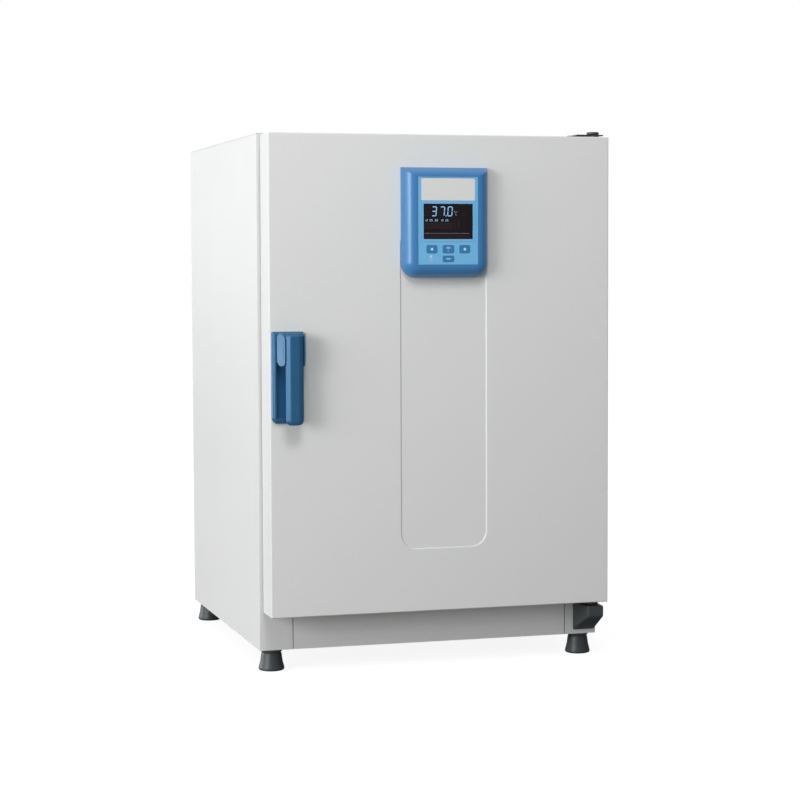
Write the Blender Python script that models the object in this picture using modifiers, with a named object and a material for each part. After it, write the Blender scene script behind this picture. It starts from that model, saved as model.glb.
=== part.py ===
"""Microbiological incubator: insulated cabinet, solid outer door, inner glass door, racks and fan.

Metres, +Z up, door towards -Y. The origin is at the bottom centre of the whole object's box.
"""
import math

import bmesh
import bpy
from mathutils import Matrix, Vector

# Cabinet
CASE_W = 0.640
CASE_H = 0.920
CASE_D = 0.623
SHEET = 0.0015
COLUMN_W = 0.060
REAR_RETURN = 0.022
PLINTH_H = 0.0672
DECK_T = 0.0012
BASE_T = 0.002
GAP = 0.0003
REAR_PROUD = 0.005
FRONT_SEAM = 0.0015

# Levelling feet
FOOT_H = 0.039
FOOT_INSET_X = 0.026
FOOT_INSET_Y = 0.024
FOOT_TOP_R = 0.0188
FOOT_NECK_R = 0.0170
FOOT_BOTTOM_R = 0.0233
FOOT_COLLAR_H = 0.0050
FOOT_EDGE = 0.003
STUD_R = 0.005
STUD_LENGTH = 0.026
BOSS_R = 0.011
BOSS_H = 0.014

# Chamber and the insulated walls round it
SIDE_WALL = 0.088
TOP_WALL = 0.090
FLOOR_WALL = 0.0828
REAR_WALL = 0.0637
CHAMBER_SHEET = 0.001
FRAME_T = 0.014
GLASS_RECESS = 0.018
FLANGE_W = 0.022

# Inner glass door
GLASS_T = 0.004
GLASS_SET = 0.0045
GLASS_LAP = 0.014
GLASS_SEAL_W = 0.008
GLASS_SEAL_LAP = 0.003
GLASS_HINGE_INSET = 0.090
LEAF_W = 0.026
LEAF_H = 0.030
LEAF_T = 0.003
KNUCKLE_R = 0.0036
KNUCKLE_STAND = 0.0042
GLASS_PIN_R = 0.0016
BRACKET_W = 0.0125
BRACKET_T = 0.003
KNOB_R = 0.010
KNOB_L = 0.0145
KNOB_INSET = 0.020
# Knob profile from its face to its foot, as shares of its radius and length
KNOB_PROFILE = ((0, 1), (0.8, 1), (1, 0.85), (1, 0.6), (0.5, 0.4), (0.5, 0.1), (0.8, 0), (0, 0))

# Racks and shelves
RACK_T = 0.003
RACK_BAR_W = 0.020
RACK_FRONT = 0.075
RACK_REAR = 0.075
RACK_SHORT = 0.030
LEDGE_W = 0.011
LEDGE_T = 0.0018
LEDGE_COUNT = 8
LEDGE_FIRST = 0.070
LEDGE_LAST_DROP = 0.120
LEDGE_FRONT = 0.030
LEDGE_REAR = 0.010
SHELF_T = 0.0015
SHELF_FRONT = 0.020
SHELF_REAR = 0.017
SHELF_SIDE_CLEAR = 0.005
SHELF_LIP = 0.012
SHELF_LIP_T = 0.0015
SLOT_COLUMNS = 12
SLOT_ROWS = 3
SLOT_BAR = 0.012
SHELF_MARGIN = 0.020
LOWER_SHELF_LEDGE = 2
UPPER_SHELF_LEDGE = 5

# Air circulation
PLENUM = 0.040
BAFFLE_T = 0.001
BAFFLE_CLEAR = 0.002
BAFFLE_LEG_R = 0.005
BAFFLE_LEG_INSET = 0.030
INTAKE_R = 0.062
INTAKE_HUB_R = 0.018
INTAKE_SPOKES = 8
SPOKE_W = 0.008
OUTLET_ROWS = 7
OUTLET_W = 0.022
OUTLET_H = 0.045
OUTLET_INSET = 0.036
FAN_R = 0.075
FAN_T = 0.022
FAN_DISC_T = 0.0022
FAN_HUB_R = 0.013
FAN_BLADES = 12
FAN_BLADE_T = 0.0018
FAN_BLADE_L = 0.026
FAN_STAND = 0.008
SHAFT_R = 0.004
MOTOR_R = 0.040
MOTOR_L = 0.045
HEATER_R = 0.095
HEATER_TUBE_R = 0.0042
HEATER_SWEEP = 300
HEATER_STEPS = 28
PROBE_R = 0.003
PROBE_L = 0.088
PROBE_FLANGE_R = 0.008
PROBE_FLANGE_T = 0.003
PROBE_INSET = 0.122
PROBE_DROP = 0.060

# Access port in the rear wall
PORT_INSET = 0.082
PORT_DROP = 0.110
PORT_R = 0.021
PORT_WALL = 0.0025
PORT_FLANGE_R = 0.030
PORT_FLANGE_T = 0.0022
PORT_REACH = 0.007
PLUG_R = 0.0205
PLUG_L = 0.030
PLUG_FLANGE_R = 0.027

# Mains inlet and power board
INLET_INSET = 0.120
INLET_UP = 0.034
INLET_W = 0.028
INLET_H = 0.0205
INLET_L = 0.026
INLET_RIM = 0.0025
INLET_RIM_T = 0.002
INLET_SOCKET_W = 0.0242
INLET_SOCKET_H = 0.0165
INLET_SOCKET_L = 0.016
INLET_PIN_PITCH = 0.007
INLET_PIN_W = 0.002
INLET_PIN_H = 0.004
INLET_PIN_ROOT = 0.002
INLET_PIN_SHORT = 0.004
BOARD_W = 0.180
BOARD_D = 0.110
BOARD_T = 0.0016
BOARD_INSET = 0.210
BOARD_SETBACK = 0.110
BOARD_STAND = 0.008
# Parts on the power board: start and end across it, start and end along it, height, as shares
BOARD_BLOCKS = ((0.15, 0.42, 0.20, 0.70, 0.70), (0.52, 0.66, 0.15, 0.40, 0.45),
                (0.72, 0.92, 0.30, 0.85, 0.35))

# Outer door
DOOR_LEFT_INSET = 0.0057
DOOR_RIGHT_INSET = 0.0025
DOOR_TOP_INSET = 0.0029
DOOR_LIFT = 0.0014
DOOR_T = 0.064
DOOR_GAP = 0.006
DOOR_SHEET = 0.0012
DOOR_EDGE = 0.002
LINER_T = 0.0012
LINER_DISH = 0.012
LINER_SLOPE = 0.008
LINER_MARGIN = 0.012
SEAL_INSET = 0.042
SEAL_W = 0.012
SEAL_END_INSET = 0.030
FACE_X = 0.0035
GROOVE_W = 0.1595
GROOVE_BOTTOM = 0.113
GROOVE_TOP_DROP = 0.1278
GROOVE_DEPTH = 0.0015
GROOVE_CORNER = 0.028

# Outer door hinges
HINGE_INSET = 0.020
HINGE_FORWARD = 0.035
HINGE_PIN_R = 0.004
BUSH_R = 0.0062
BUSH_FLANGE_R = 0.0085
BUSH_FLANGE_T = 0.0015
BUSH_L = 0.016
PIN_ENGAGE = 0.014
TOP_PLATE_W = 0.051
TOP_PLATE_INSET = 0.004
TOP_PLATE_T = 0.002
TOP_PLATE_FORWARD = 0.047
TOP_PLATE_BACK = 0.045
TOP_CAP_R = 0.01125
TOP_CAP_H = 0.0049
NOSE_TOP = 0.0605
NOSE_BOTTOM = 0.040
NOSE_FOOT = 0.007
NOSE_REACH = 0.062
NOSE_BASE_W = 0.043
NOSE_BASE_INSET = 0.0022
NOSE_W = 0.0305
NOSE_INSET = 0.0075
NOSE_EDGE = 0.0028
WASHER_R = 0.011

# Handle and latch
HANDLE_X = 0.03735
HANDLE_W = 0.0583
HANDLE_TOP = 0.572
HANDLE_H = 0.1608
HANDLE_BASE_T = 0.009
HANDLE_FLOOR_T = 0.003
HANDLE_BORDER = 0.008
HANDLE_CORNER = 0.011
HANDLE_TOP_CORNER = 0.003
HANDLE_PROUD = 0.040
CHEEK_SHOULDER = 0.0085
CHEEK_TIP_T = 0.0012
CHEEK_H = 0.0595
CHEEK_CORNER = 0.006
CHEEK_TOP_CORNER = 0.012
CHEEK_SHORT = 0.003
PIN_SEAT = 0.003
GRIP_W = 0.0325
GRIP_SHIFT = 0.0051
GRIP_T = 0.0105
GRIP_TOP_DROP = 0.0015
GRIP_LONGER = 0.0012
GRIP_EDGE = 0.005
GRIP_TIP = 0.009
HUB_H = 0.028
HUB_T = 0.012
HANDLE_PIVOT_BACK = 0.018
HANDLE_PIVOT_DROP = 0.024
HANDLE_PIN_R = 0.003
HOOK_T = 0.005
HOOK_X_SHIFT = -0.01195
HOOK_H = 0.009
HOOK_NOSE_H = 0.006
HOOK_NOSE_L = 0.006
HOOK_REACH_GAP = 0.0055
HOOK_PASS = 0.0008
HOOK_SLOT_SIDE = 0.003
HOOK_DROP_ROOM = 0.026
KEEPER_W = 0.012
KEEPER_T = 0.0025
KEEPER_REACH = 0.020
KEEPER_PLATE_W = 0.020
KEEPER_PLATE_DOWN = 0.034
KEEPER_PLATE_UP = 0.012

# Control unit on the door
UNIT_W = 0.159
UNIT_TOP_DROP = 0.0583
UNIT_H = 0.1943
UNIT_T = 0.028
UNIT_CORNER = 0.026
UNIT_WALL = 0.003
UNIT_SIDE_SLOPE = 0.022
UNIT_TOP_SLOPE = 0.0153
UNIT_BOTTOM_SLOPE = 0.021
MEMBRANE_W = 0.110
MEMBRANE_H = 0.154
MEMBRANE_DROP = 0.0173
MEMBRANE_T = 0.0009
LABEL_W = 0.100
LABEL_H = 0.0391
LABEL_DROP = 0.0024
LABEL_CORNER = 0.003
SCREEN_W = 0.0903
SCREEN_H = 0.0615
SCREEN_DROP = 0.0475
SCREEN_T = 0.006
KEY_PITCH = 0.0303
KEY_W = 0.0195
KEY_H = 0.014
KEY_ROW_DROP = 0.120
BACK_KEY_W = 0.021
BACK_KEY_H = 0.011
BACK_KEY_DROP = 0.1385
KEY_CORNER = 0.0025
KEY_PROUD = 0.0006
KEY_TRAVEL = 0.0006
KEY_L = 0.0085
CAVITY_MARGIN = 0.004
CONTROL_BOARD_T = 0.0016

# Planes that the pieces share
X_L = -CASE_W / 2
X_R = CASE_W / 2
HANDLE_REACH = DOOR_GAP + DOOR_T + HANDLE_PROUD
Y_F = (HANDLE_REACH - CASE_D - REAR_PROUD) / 2
Y_R = Y_F + CASE_D
Z_B = FOOT_H
Z_T = FOOT_H + CASE_H
Z_PLINTH = Z_B + PLINTH_H

CH_X = CASE_W / 2 - SIDE_WALL
CH_F = Y_F + FRAME_T + GAP
CH_R = Y_R - REAR_WALL
CH_B = Z_PLINTH + FLOOR_WALL
CH_T = Z_T - TOP_WALL
CH_MID = (CH_B + CH_T) / 2

DOOR_X0 = X_L + DOOR_LEFT_INSET
DOOR_X1 = X_R - DOOR_RIGHT_INSET
DOOR_Z0 = Z_PLINTH + DOOR_LIFT
DOOR_Z1 = Z_T - DOOR_TOP_INSET
DOOR_BACK = Y_F - DOOR_GAP
DOOR_FRONT = DOOR_BACK - DOOR_T

HINGE_X = X_R - HINGE_INSET
HINGE_Y = Y_F - HINGE_FORWARD

GLASS_FRONT = Y_F + GLASS_SET
GLASS_BACK = GLASS_FRONT + GLASS_T
GLASS_X = CH_X + GLASS_LAP
GLASS_Z0 = CH_B - GLASS_LAP
GLASS_Z1 = CH_T + GLASS_LAP
GLASS_AXIS_X = GLASS_X + KNUCKLE_R
GLASS_AXIS_Y = Y_F - KNUCKLE_STAND

BAFFLE_Y = CH_R - PLENUM
LEDGE_PITCH = (CH_T - CH_B - LEDGE_FIRST - LEDGE_LAST_DROP) / (LEDGE_COUNT - 1)
PORT_X = PORT_INSET - CH_X
PROBE_X = CH_X - PROBE_INSET
INLET_X = X_R - INLET_INSET
BOARD_X = X_R - BOARD_INSET
FAN_BACK = CH_R - FAN_STAND
FAN_FRONT = FAN_BACK - FAN_T

HANDLE_CX = X_L + HANDLE_X
HANDLE_Z1 = Z_B + HANDLE_TOP
HANDLE_Z0 = HANDLE_Z1 - HANDLE_H
HANDLE_BACK = DOOR_FRONT - GAP
HANDLE_FRONT = DOOR_FRONT - HANDLE_PROUD
PIVOT_Y = HANDLE_FRONT + HANDLE_PIVOT_BACK
PIVOT_Z = HANDLE_Z1 - HANDLE_PIVOT_DROP
GRIP_CX = HANDLE_CX + GRIP_SHIFT
HOOK_X = GRIP_CX + HOOK_X_SHIFT
HOOK_END = DOOR_BACK - HOOK_REACH_GAP
HOOK_TOP = PIVOT_Z + HOOK_H / 2

UNIT_Z1 = Z_T - DOOR_TOP_INSET - UNIT_TOP_DROP
UNIT_Z0 = UNIT_Z1 - UNIT_H
UNIT_BACK = DOOR_FRONT - GAP
UNIT_FRONT = DOOR_FRONT - UNIT_T
MEMBRANE_Z1 = UNIT_Z1 - MEMBRANE_DROP
MEMBRANE_Z0 = MEMBRANE_Z1 - MEMBRANE_H

CUT = 0.01
ROUND = 32

for old in list(bpy.data.objects):
    bpy.data.objects.remove(old, do_unlink=True)

PARTS = bpy.data.collections.new("incubator")
CUTTERS = bpy.data.collections.new("cutters")
bpy.context.scene.collection.children.link(PARTS)
bpy.context.scene.collection.children.link(CUTTERS)


def linear(hex_colour):
    """sRGB hex to the linear colour that a shader takes."""
    values = []
    for start in (0, 2, 4):
        c = int(hex_colour[start:start + 2], 16) / 255
        values.append(c / 12.92 if c <= 0.04045 else ((c + 0.055) / 1.055) ** 2.4)
    return (*values, 1.0)


def material(name, colour, roughness, metallic=0.0, alpha=1.0):
    mat = bpy.data.materials.new(name)
    mat.use_nodes = True
    shader = mat.node_tree.nodes["Principled BSDF"]
    shader.inputs["Base Color"].default_value = linear(colour)
    shader.inputs["Roughness"].default_value = roughness
    shader.inputs["Metallic"].default_value = metallic
    shader.inputs["Alpha"].default_value = alpha
    return mat


WHITE_PAINT = material("white_powder_coat", "E1E3E2", 0.45)
STAINLESS = material("stainless_sheet", "B9BCBE", 0.32, 1.0)
STEEL = material("plated_steel", "A9ACAF", 0.35, 1.0)
BRONZE = material("bronze", "7A5236", 0.45, 0.8)
BLUE_PLASTIC = material("blue_moulded_plastic", "3F7DB8", 0.40)
HANDLE_BLUE = material("handle_blue_plastic", "35699F", 0.42)
LIGHT_BLUE = material("light_blue_membrane", "6CB0E0", 0.35)
KEY_BLUE = material("key_blue", "2F7CB0", 0.40)
LABEL_WHITE = material("label_white", "E8E9E9", 0.35)
BLACK_GLASS = material("display_glass", "0B0A0C", 0.12)
CLEAR_GLASS = material("clear_glass", "DDEEE8", 0.03, 0.0, 0.3)
RUBBER = material("black_seal_rubber", "1E1F20", 0.7)
SILICONE = material("silicone_seal", "C9CBC6", 0.6)
CHARCOAL = material("charcoal_plastic", "3A4043", 0.5)
WOOL = material("mineral_wool", "B9A877", 0.95)
BOARD_GREEN = material("circuit_board", "1F5A3A", 0.5)
MOTOR_GREY = material("motor_casting", "6E7276", 0.5, 0.6)


def place(name, mesh, mat, location=(0, 0, 0), collection=PARTS):
    obj = bpy.data.objects.new(name, mesh)
    obj.location = location
    collection.objects.link(obj)
    if mat:
        mesh.materials.append(mat)
    return obj


def as_tool(obj):
    """Turn an object into one that only cuts or joins others."""
    for owner in list(obj.users_collection):
        owner.objects.unlink(obj)
    CUTTERS.objects.link(obj)
    obj.hide_render = True
    obj.display_type = "WIRE"
    return obj


def box(name, x, y, z, mat=None, edge=0.0, segments=2):
    """A box between two limits on each axis, with rounded edges if edge is given."""
    centre = Vector(((x[0] + x[1]) / 2, (y[0] + y[1]) / 2, (z[0] + z[1]) / 2))
    size = Vector((x[1] - x[0], y[1] - y[0], z[1] - z[0]))
    bm = bmesh.new()
    bmesh.ops.create_cube(bm, size=1.0)
    bmesh.ops.scale(bm, vec=size, verts=bm.verts)
    mesh = bpy.data.meshes.new(name)
    bm.to_mesh(mesh)
    bm.free()
    obj = place(name, mesh, mat, centre)
    if edge:
        soften(obj, edge, segments)
    return obj


def cylinder(name, centre, axis, radius, length, mat=None, sides=ROUND, radius2=None):
    """A cylinder or cone round its centre, along X, Y or Z; radius2 is at the far end."""
    bm = bmesh.new()
    far = radius if radius2 is None else radius2
    bmesh.ops.create_cone(bm, cap_ends=True, segments=sides, radius1=radius, radius2=far, depth=length)
    mesh = bpy.data.meshes.new(name)
    bm.to_mesh(mesh)
    bm.free()
    obj = place(name, mesh, mat, centre)
    obj.rotation_euler = {"X": (0, math.pi / 2, 0), "Y": (-math.pi / 2, 0, 0), "Z": (0, 0, 0)}[axis]
    mesh.shade_smooth()
    mesh.set_sharp_from_angle(angle=math.radians(35))
    return obj


def along_y(name, x, z, y0, y1, radius, mat=None, sides=ROUND):
    return cylinder(name, (x, (y0 + y1) / 2, z), "Y", radius, y1 - y0, mat, sides)


def along_z(name, x, y, z0, z1, radius, mat=None, sides=ROUND):
    return cylinder(name, (x, y, (z0 + z1) / 2), "Z", radius, z1 - z0, mat, sides)


def turned(name, profile, mat, location=(0, 0, 0), sides=ROUND):
    """A solid of revolution about Z; profile is (radius, height) from the top down."""
    mesh = bpy.data.meshes.new(name)
    points = [(r, 0, h) for r, h in profile]
    mesh.from_pydata(points, [(i, i + 1) for i in range(len(points) - 1)], [])
    obj = place(name, mesh, mat, location)
    screw = obj.modifiers.new("turn", "SCREW")
    screw.axis = "Z"
    screw.angle = math.tau
    screw.steps = sides
    screw.render_steps = sides
    screw.use_merge_vertices = True
    screw.merge_threshold = 0.0001
    screw.use_smooth_shade = True
    return obj


def outline_solid(name, outlines, depth, matrix, mat):
    """A flat outline with its holes, extruded by depth and centred on its own plane."""
    curve = bpy.data.curves.new(name + "_outline", "CURVE")
    curve.dimensions = "2D"
    curve.fill_mode = "BOTH"
    curve.extrude = depth / 2
    for points in outlines:
        spline = curve.splines.new("POLY")
        spline.points.add(len(points) - 1)
        for point, (u, v) in zip(spline.points, points):
            point.co = (u, v, 0, 1)
        spline.use_cyclic_u = True
    drawn = bpy.data.objects.new(name + "_outline", curve)
    PARTS.objects.link(drawn)
    mesh = bpy.data.meshes.new_from_object(drawn.evaluated_get(bpy.context.evaluated_depsgraph_get()))
    bpy.data.objects.remove(drawn)
    bm = bmesh.new()
    bm.from_mesh(mesh)
    bmesh.ops.remove_doubles(bm, verts=bm.verts, dist=0.00001)
    bmesh.ops.recalc_face_normals(bm, faces=bm.faces)
    bm.to_mesh(mesh)
    bm.free()
    mesh.name = name
    obj = place(name, mesh, mat)
    obj.matrix_world = matrix
    return obj


def arc(cx, cy, radius, start, end, steps=6):
    """Points on an arc, angles in degrees."""
    points = []
    for i in range(steps + 1):
        angle = math.radians(start + (end - start) * i / steps)
        points.append((cx + radius * math.cos(angle), cy + radius * math.sin(angle)))
    return points


def rounded_outline(u0, u1, v0, v1, radii, steps=6):
    """A rectangle with its own corner radius at lower left, lower right, upper right, upper left."""
    ll, lr, ur, ul = radii
    return (arc(u0 + ll, v0 + ll, ll, 180, 270, steps) + arc(u1 - lr, v0 + lr, lr, 270, 360, steps)
            + arc(u1 - ur, v1 - ur, ur, 0, 90, steps) + arc(u0 + ul, v1 - ul, ul, 90, 180, steps))


def facing_front(y):
    """Matrix that stands a drawn outline up in the XZ plane at y."""
    return Matrix.Translation((0, y, 0)) @ Matrix.Rotation(math.pi / 2, 4, "X")


def facing_side(x):
    """Matrix that stands a drawn outline up in the YZ plane at x, drawn as (y, z)."""
    return Matrix.Translation((x, 0, 0)) @ Matrix(((0, 0, 1, 0), (1, 0, 0, 0), (0, 1, 0, 0), (0, 0, 0, 1)))


def lofted(name, sections, mat):
    """A solid through sections that have the same number of points each."""
    bm = bmesh.new()
    rings = [[bm.verts.new(point) for point in section] for section in sections]
    count = len(rings[0])
    for lower, upper in zip(rings, rings[1:]):
        for i in range(count):
            j = (i + 1) % count
            bm.faces.new((lower[i], lower[j], upper[j], upper[i]))
    bm.faces.new(rings[0])
    bm.faces.new(rings[-1])
    bmesh.ops.recalc_face_normals(bm, faces=bm.faces)
    mesh = bpy.data.meshes.new(name)
    bm.to_mesh(mesh)
    bm.free()
    mesh.shade_smooth()
    mesh.set_sharp_from_angle(angle=math.radians(40))
    return place(name, mesh, mat)


def folded_sheet(name, path, z0, z1, thickness, mat):
    """Sheet metal folded along a path in plan, its outer face on the path's right-hand side."""
    bm = bmesh.new()
    verts = [bm.verts.new((x, y, z0)) for x, y in path]
    edges = [bm.edges.new(pair) for pair in zip(verts, verts[1:])]
    raised = bmesh.ops.extrude_edge_only(bm, edges=edges)["geom"]
    moved = [item for item in raised if isinstance(item, bmesh.types.BMVert)]
    bmesh.ops.translate(bm, vec=(0, 0, z1 - z0), verts=moved)
    bm.normal_update()
    along = Vector((path[1][0] - path[0][0], path[1][1] - path[0][1], 0))
    outside = along.cross(Vector((0, 0, 1)))
    middle = Vector(((path[0][0] + path[1][0]) / 2, (path[0][1] + path[1][1]) / 2, (z0 + z1) / 2))
    first = min(bm.faces, key=lambda face: (face.calc_center_median() - middle).length)
    if first.normal.dot(outside) < 0:
        bmesh.ops.reverse_faces(bm, faces=bm.faces)
    mesh = bpy.data.meshes.new(name)
    bm.to_mesh(mesh)
    bm.free()
    obj = place(name, mesh, mat)
    thicken(obj, thickness, -1)
    return obj


def thicken(obj, thickness, offset):
    """Give an open surface its sheet thickness, exact where three folds meet."""
    solid = obj.modifiers.new("sheet", "SOLIDIFY")
    solid.solidify_mode = "NON_MANIFOLD"
    solid.nonmanifold_thickness_mode = "CONSTRAINTS"
    solid.thickness = thickness
    solid.offset = offset


def soften(obj, width, segments=2):
    bevel = obj.modifiers.new("edges", "BEVEL")
    bevel.width = width
    bevel.segments = segments
    bevel.limit_method = "ANGLE"
    bevel.angle_limit = math.radians(35)


def combine(obj, tool, operation):
    step = obj.modifiers.new(tool.name, "BOOLEAN")
    step.operation = operation
    step.solver = "EXACT"
    step.object = as_tool(tool)


def cut(obj, *tools):
    for tool in tools:
        combine(obj, tool, "DIFFERENCE")


def join(obj, *tools):
    for tool in tools:
        combine(obj, tool, "UNION")


def many_boxes(name, limits):
    """One tool made of separate boxes, each given by its limits on the three axes."""
    bm = bmesh.new()
    for x, y, z in limits:
        made = bmesh.ops.create_cube(bm, size=1.0)["verts"]
        bmesh.ops.scale(bm, vec=(x[1] - x[0], y[1] - y[0], z[1] - z[0]), verts=made)
        centre = ((x[0] + x[1]) / 2, (y[0] + y[1]) / 2, (z[0] + z[1]) / 2)
        bmesh.ops.translate(bm, vec=centre, verts=made)
    mesh = bpy.data.meshes.new(name)
    bm.to_mesh(mesh)
    bm.free()
    return place(name, mesh, None)


def holder(name, location, pieces):
    """An empty on a joint axis that carries the pieces which turn or slide about it."""
    empty = bpy.data.objects.new(name, None)
    empty.location = location
    empty.empty_display_size = 0.05
    PARTS.objects.link(empty)
    for piece in pieces:
        piece.parent = empty
        piece.matrix_parent_inverse = Matrix.Translation(-Vector(location))
    return empty


def foot_places():
    """Where the four feet stand, with their names."""
    side = CASE_W / 2 - FOOT_INSET_X
    front = Y_F + FOOT_INSET_Y
    rear = Y_R - FOOT_INSET_Y
    return {"front_left": (-side, front), "front_right": (side, front),
            "rear_left": (-side, rear), "rear_right": (side, rear)}


def make_case():
    top = Z_T - SHEET - GAP
    left = [(X_L + REAR_RETURN, Y_R), (X_L, Y_R), (X_L, Y_F), (X_L + COLUMN_W, Y_F)]
    right = [(-x, y) for x, y in reversed(left)]
    folded_sheet("left_side_panel", left, Z_B, top, SHEET, WHITE_PAINT)
    folded_sheet("right_side_panel", right, Z_B, top, SHEET, WHITE_PAINT)
    box("top_panel", (X_L, X_R), (Y_F, Y_R), (Z_T - SHEET, Z_T), WHITE_PAINT, SHEET * 0.3)
    between = (X_L + COLUMN_W + FRONT_SEAM, X_R - COLUMN_W - FRONT_SEAM)
    box("plinth_panel", between, (Y_F, Y_F + SHEET), (Z_B, Z_PLINTH), WHITE_PAINT)

    inside = (X_L + SHEET + GAP, X_R - SHEET - GAP)
    base = box("base_panel", inside, (Y_F + SHEET + GAP, Y_R - SHEET - GAP), (Z_B, Z_B + BASE_T), STEEL)
    box("insulation_deck", inside, (Y_F + SHEET + GAP, Y_R - SHEET - GAP),
        (Z_PLINTH - DECK_T, Z_PLINTH), STEEL)
    for name, (x, y) in foot_places().items():
        join(base, along_z("boss_" + name, x, y, Z_B + BASE_T / 2, Z_B + BOSS_H, BOSS_R))
    for name, (x, y) in foot_places().items():
        cut(base, along_z("stud_hole_" + name, x, y, Z_B - CUT, Z_B + BOSS_H + CUT, STUD_R + GAP, sides=16))

    rear = box("rear_panel", (X_L + REAR_RETURN + GAP, X_R - REAR_RETURN - GAP), (Y_R - SHEET, Y_R),
               (Z_B, top), WHITE_PAINT)
    cut(rear, along_y("port_hole_rear", PORT_X, CH_T - PORT_DROP, Y_R - CUT, Y_R + CUT,
                      PORT_R + PORT_WALL + GAP))
    inlet_z = Z_B + INLET_UP
    cut(rear, box("inlet_hole", (INLET_X - INLET_W / 2 - GAP, INLET_X + INLET_W / 2 + GAP),
                  (Y_R - CUT, Y_R + CUT),
                  (inlet_z - INLET_H / 2 - GAP, inlet_z + INLET_H / 2 + GAP)))

    frame = box("front_frame", between, (Y_F, Y_F + FRAME_T), (Z_PLINTH + GAP, top), STAINLESS)
    cut(frame, box("glass_recess", (-CH_X - GLASS_RECESS, CH_X + GLASS_RECESS),
                   (Y_F - CUT, Y_F + FRAME_T + CUT), (CH_B - GLASS_RECESS, CH_T + GLASS_RECESS)))


def make_feet():
    top = FOOT_H - GAP
    collar = top - FOOT_COLLAR_H
    neck = collar - (FOOT_TOP_R - FOOT_NECK_R) / 2
    profile = [(0, top + STUD_LENGTH), (STUD_R, top + STUD_LENGTH), (STUD_R, top), (FOOT_TOP_R, top),
               (FOOT_TOP_R, collar), (FOOT_NECK_R, neck)]
    side_low = (FOOT_BOTTOM_R, FOOT_EDGE)
    edge = arc(FOOT_BOTTOM_R - FOOT_EDGE, FOOT_EDGE, FOOT_EDGE, 0, -90, 3)[1:]
    profile += [side_low] + edge + [(0, 0)]
    for name, (x, y) in foot_places().items():
        foot = turned("foot_" + name, profile, CHARCOAL, (x, y, 0), 28)
        foot.name = "foot_" + name


def make_chamber():
    """Stainless tub, open to the front, with an out-turned flange round its mouth."""
    bm = bmesh.new()
    bmesh.ops.create_cube(bm, size=1.0)
    bmesh.ops.scale(bm, vec=(2 * CH_X, CH_R - CH_F, CH_T - CH_B), verts=bm.verts)
    bmesh.ops.translate(bm, vec=(0, (CH_F + CH_R) / 2, CH_MID), verts=bm.verts)
    front = min(bm.faces, key=lambda face: face.calc_center_median().y)
    bmesh.ops.delete(bm, geom=[front], context="FACES_ONLY")
    rim = [edge for edge in bm.edges if edge.is_boundary]
    flange = bmesh.ops.extrude_edge_only(bm, edges=rim)["geom"]
    for vert in flange:
        if isinstance(vert, bmesh.types.BMVert):
            vert.co.x += math.copysign(FLANGE_W, vert.co.x)
            vert.co.z += math.copysign(FLANGE_W, vert.co.z - CH_MID)
    bmesh.ops.recalc_face_normals(bm, faces=bm.faces)
    bm.normal_update()
    rear = max(bm.faces, key=lambda face: face.calc_center_median().y)
    if rear.normal.y < 0:
        bmesh.ops.reverse_faces(bm, faces=bm.faces)
    mesh = bpy.data.meshes.new("inner_chamber")
    bm.to_mesh(mesh)
    bm.free()
    chamber = place("inner_chamber", mesh, STAINLESS)
    thicken(chamber, CHAMBER_SHEET, 1)
    cut(chamber, along_y("shaft_hole", 0, CH_MID, CH_R - CUT, CH_R + CUT, SHAFT_R + CHAMBER_SHEET))
    cut(chamber, along_y("port_hole_chamber", PORT_X, CH_T - PORT_DROP, CH_R - CUT, CH_R + CUT,
                         PORT_R + PORT_WALL + GAP))

    outer = CHAMBER_SHEET + GAP
    jacket = box("insulation_jacket", (X_L + SHEET + GAP, X_R - SHEET - GAP),
                 (CH_F + CHAMBER_SHEET + GAP, Y_R - SHEET - GAP),
                 (Z_PLINTH + GAP, Z_T - SHEET - GAP), WOOL)
    cut(jacket, box("chamber_space", (-CH_X - outer, CH_X + outer), (CH_F - CUT, CH_R + outer),
                    (CH_B - outer, CH_T + outer)))
    cut(jacket, along_y("motor_space", 0, CH_MID, CH_R - CUT, Y_R + CUT, MOTOR_R + GAP))
    cut(jacket, along_y("port_space", PORT_X, CH_T - PORT_DROP, CH_R - CUT, Y_R + CUT,
                        PORT_R + PORT_WALL + GAP))

    seal_in = CH_X + GLASS_SEAL_LAP
    seal_z0 = CH_B - GLASS_SEAL_LAP
    seal_z1 = CH_T + GLASS_SEAL_LAP
    w = GLASS_SEAL_W
    seal = box("chamber_gasket", (-seal_in - w, seal_in + w), (GLASS_BACK + GAP, CH_F - GAP),
               (seal_z0 - w, seal_z1 + w), SILICONE)
    cut(seal, box("gasket_opening", (-seal_in, seal_in), (Y_F, CH_F + CUT), (seal_z0, seal_z1)))


def ledge_height(index):
    return CH_B + LEDGE_FIRST + index * LEDGE_PITCH


def make_racks():
    """Two ladder racks that stand against the chamber's sides, with ledges for the shelves."""
    low = CH_B + GAP
    high = CH_T - RACK_SHORT
    for side, sign in (("left", -1), ("right", 1)):
        wall = sign * (CH_X - GAP)
        thick = sorted((wall, wall - sign * RACK_T))
        front_bar = CH_F + RACK_FRONT
        rear_bar = BAFFLE_Y - RACK_REAR
        rack = box(side + "_rack", thick, (front_bar, front_bar + RACK_BAR_W), (low, high), STAINLESS)
        ledge_x = sorted((wall - sign * RACK_T / 3, wall - sign * LEDGE_W))
        ledges = [(ledge_x, (CH_F + LEDGE_FRONT, BAFFLE_Y - LEDGE_REAR),
                   (ledge_height(i), ledge_height(i) + LEDGE_T)) for i in range(LEDGE_COUNT)]
        join(rack, many_boxes(side + "_ledges", ledges))
        join(rack, box(side + "_rear_bar", thick, (rear_bar, rear_bar + RACK_BAR_W), (low, high)))


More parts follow.
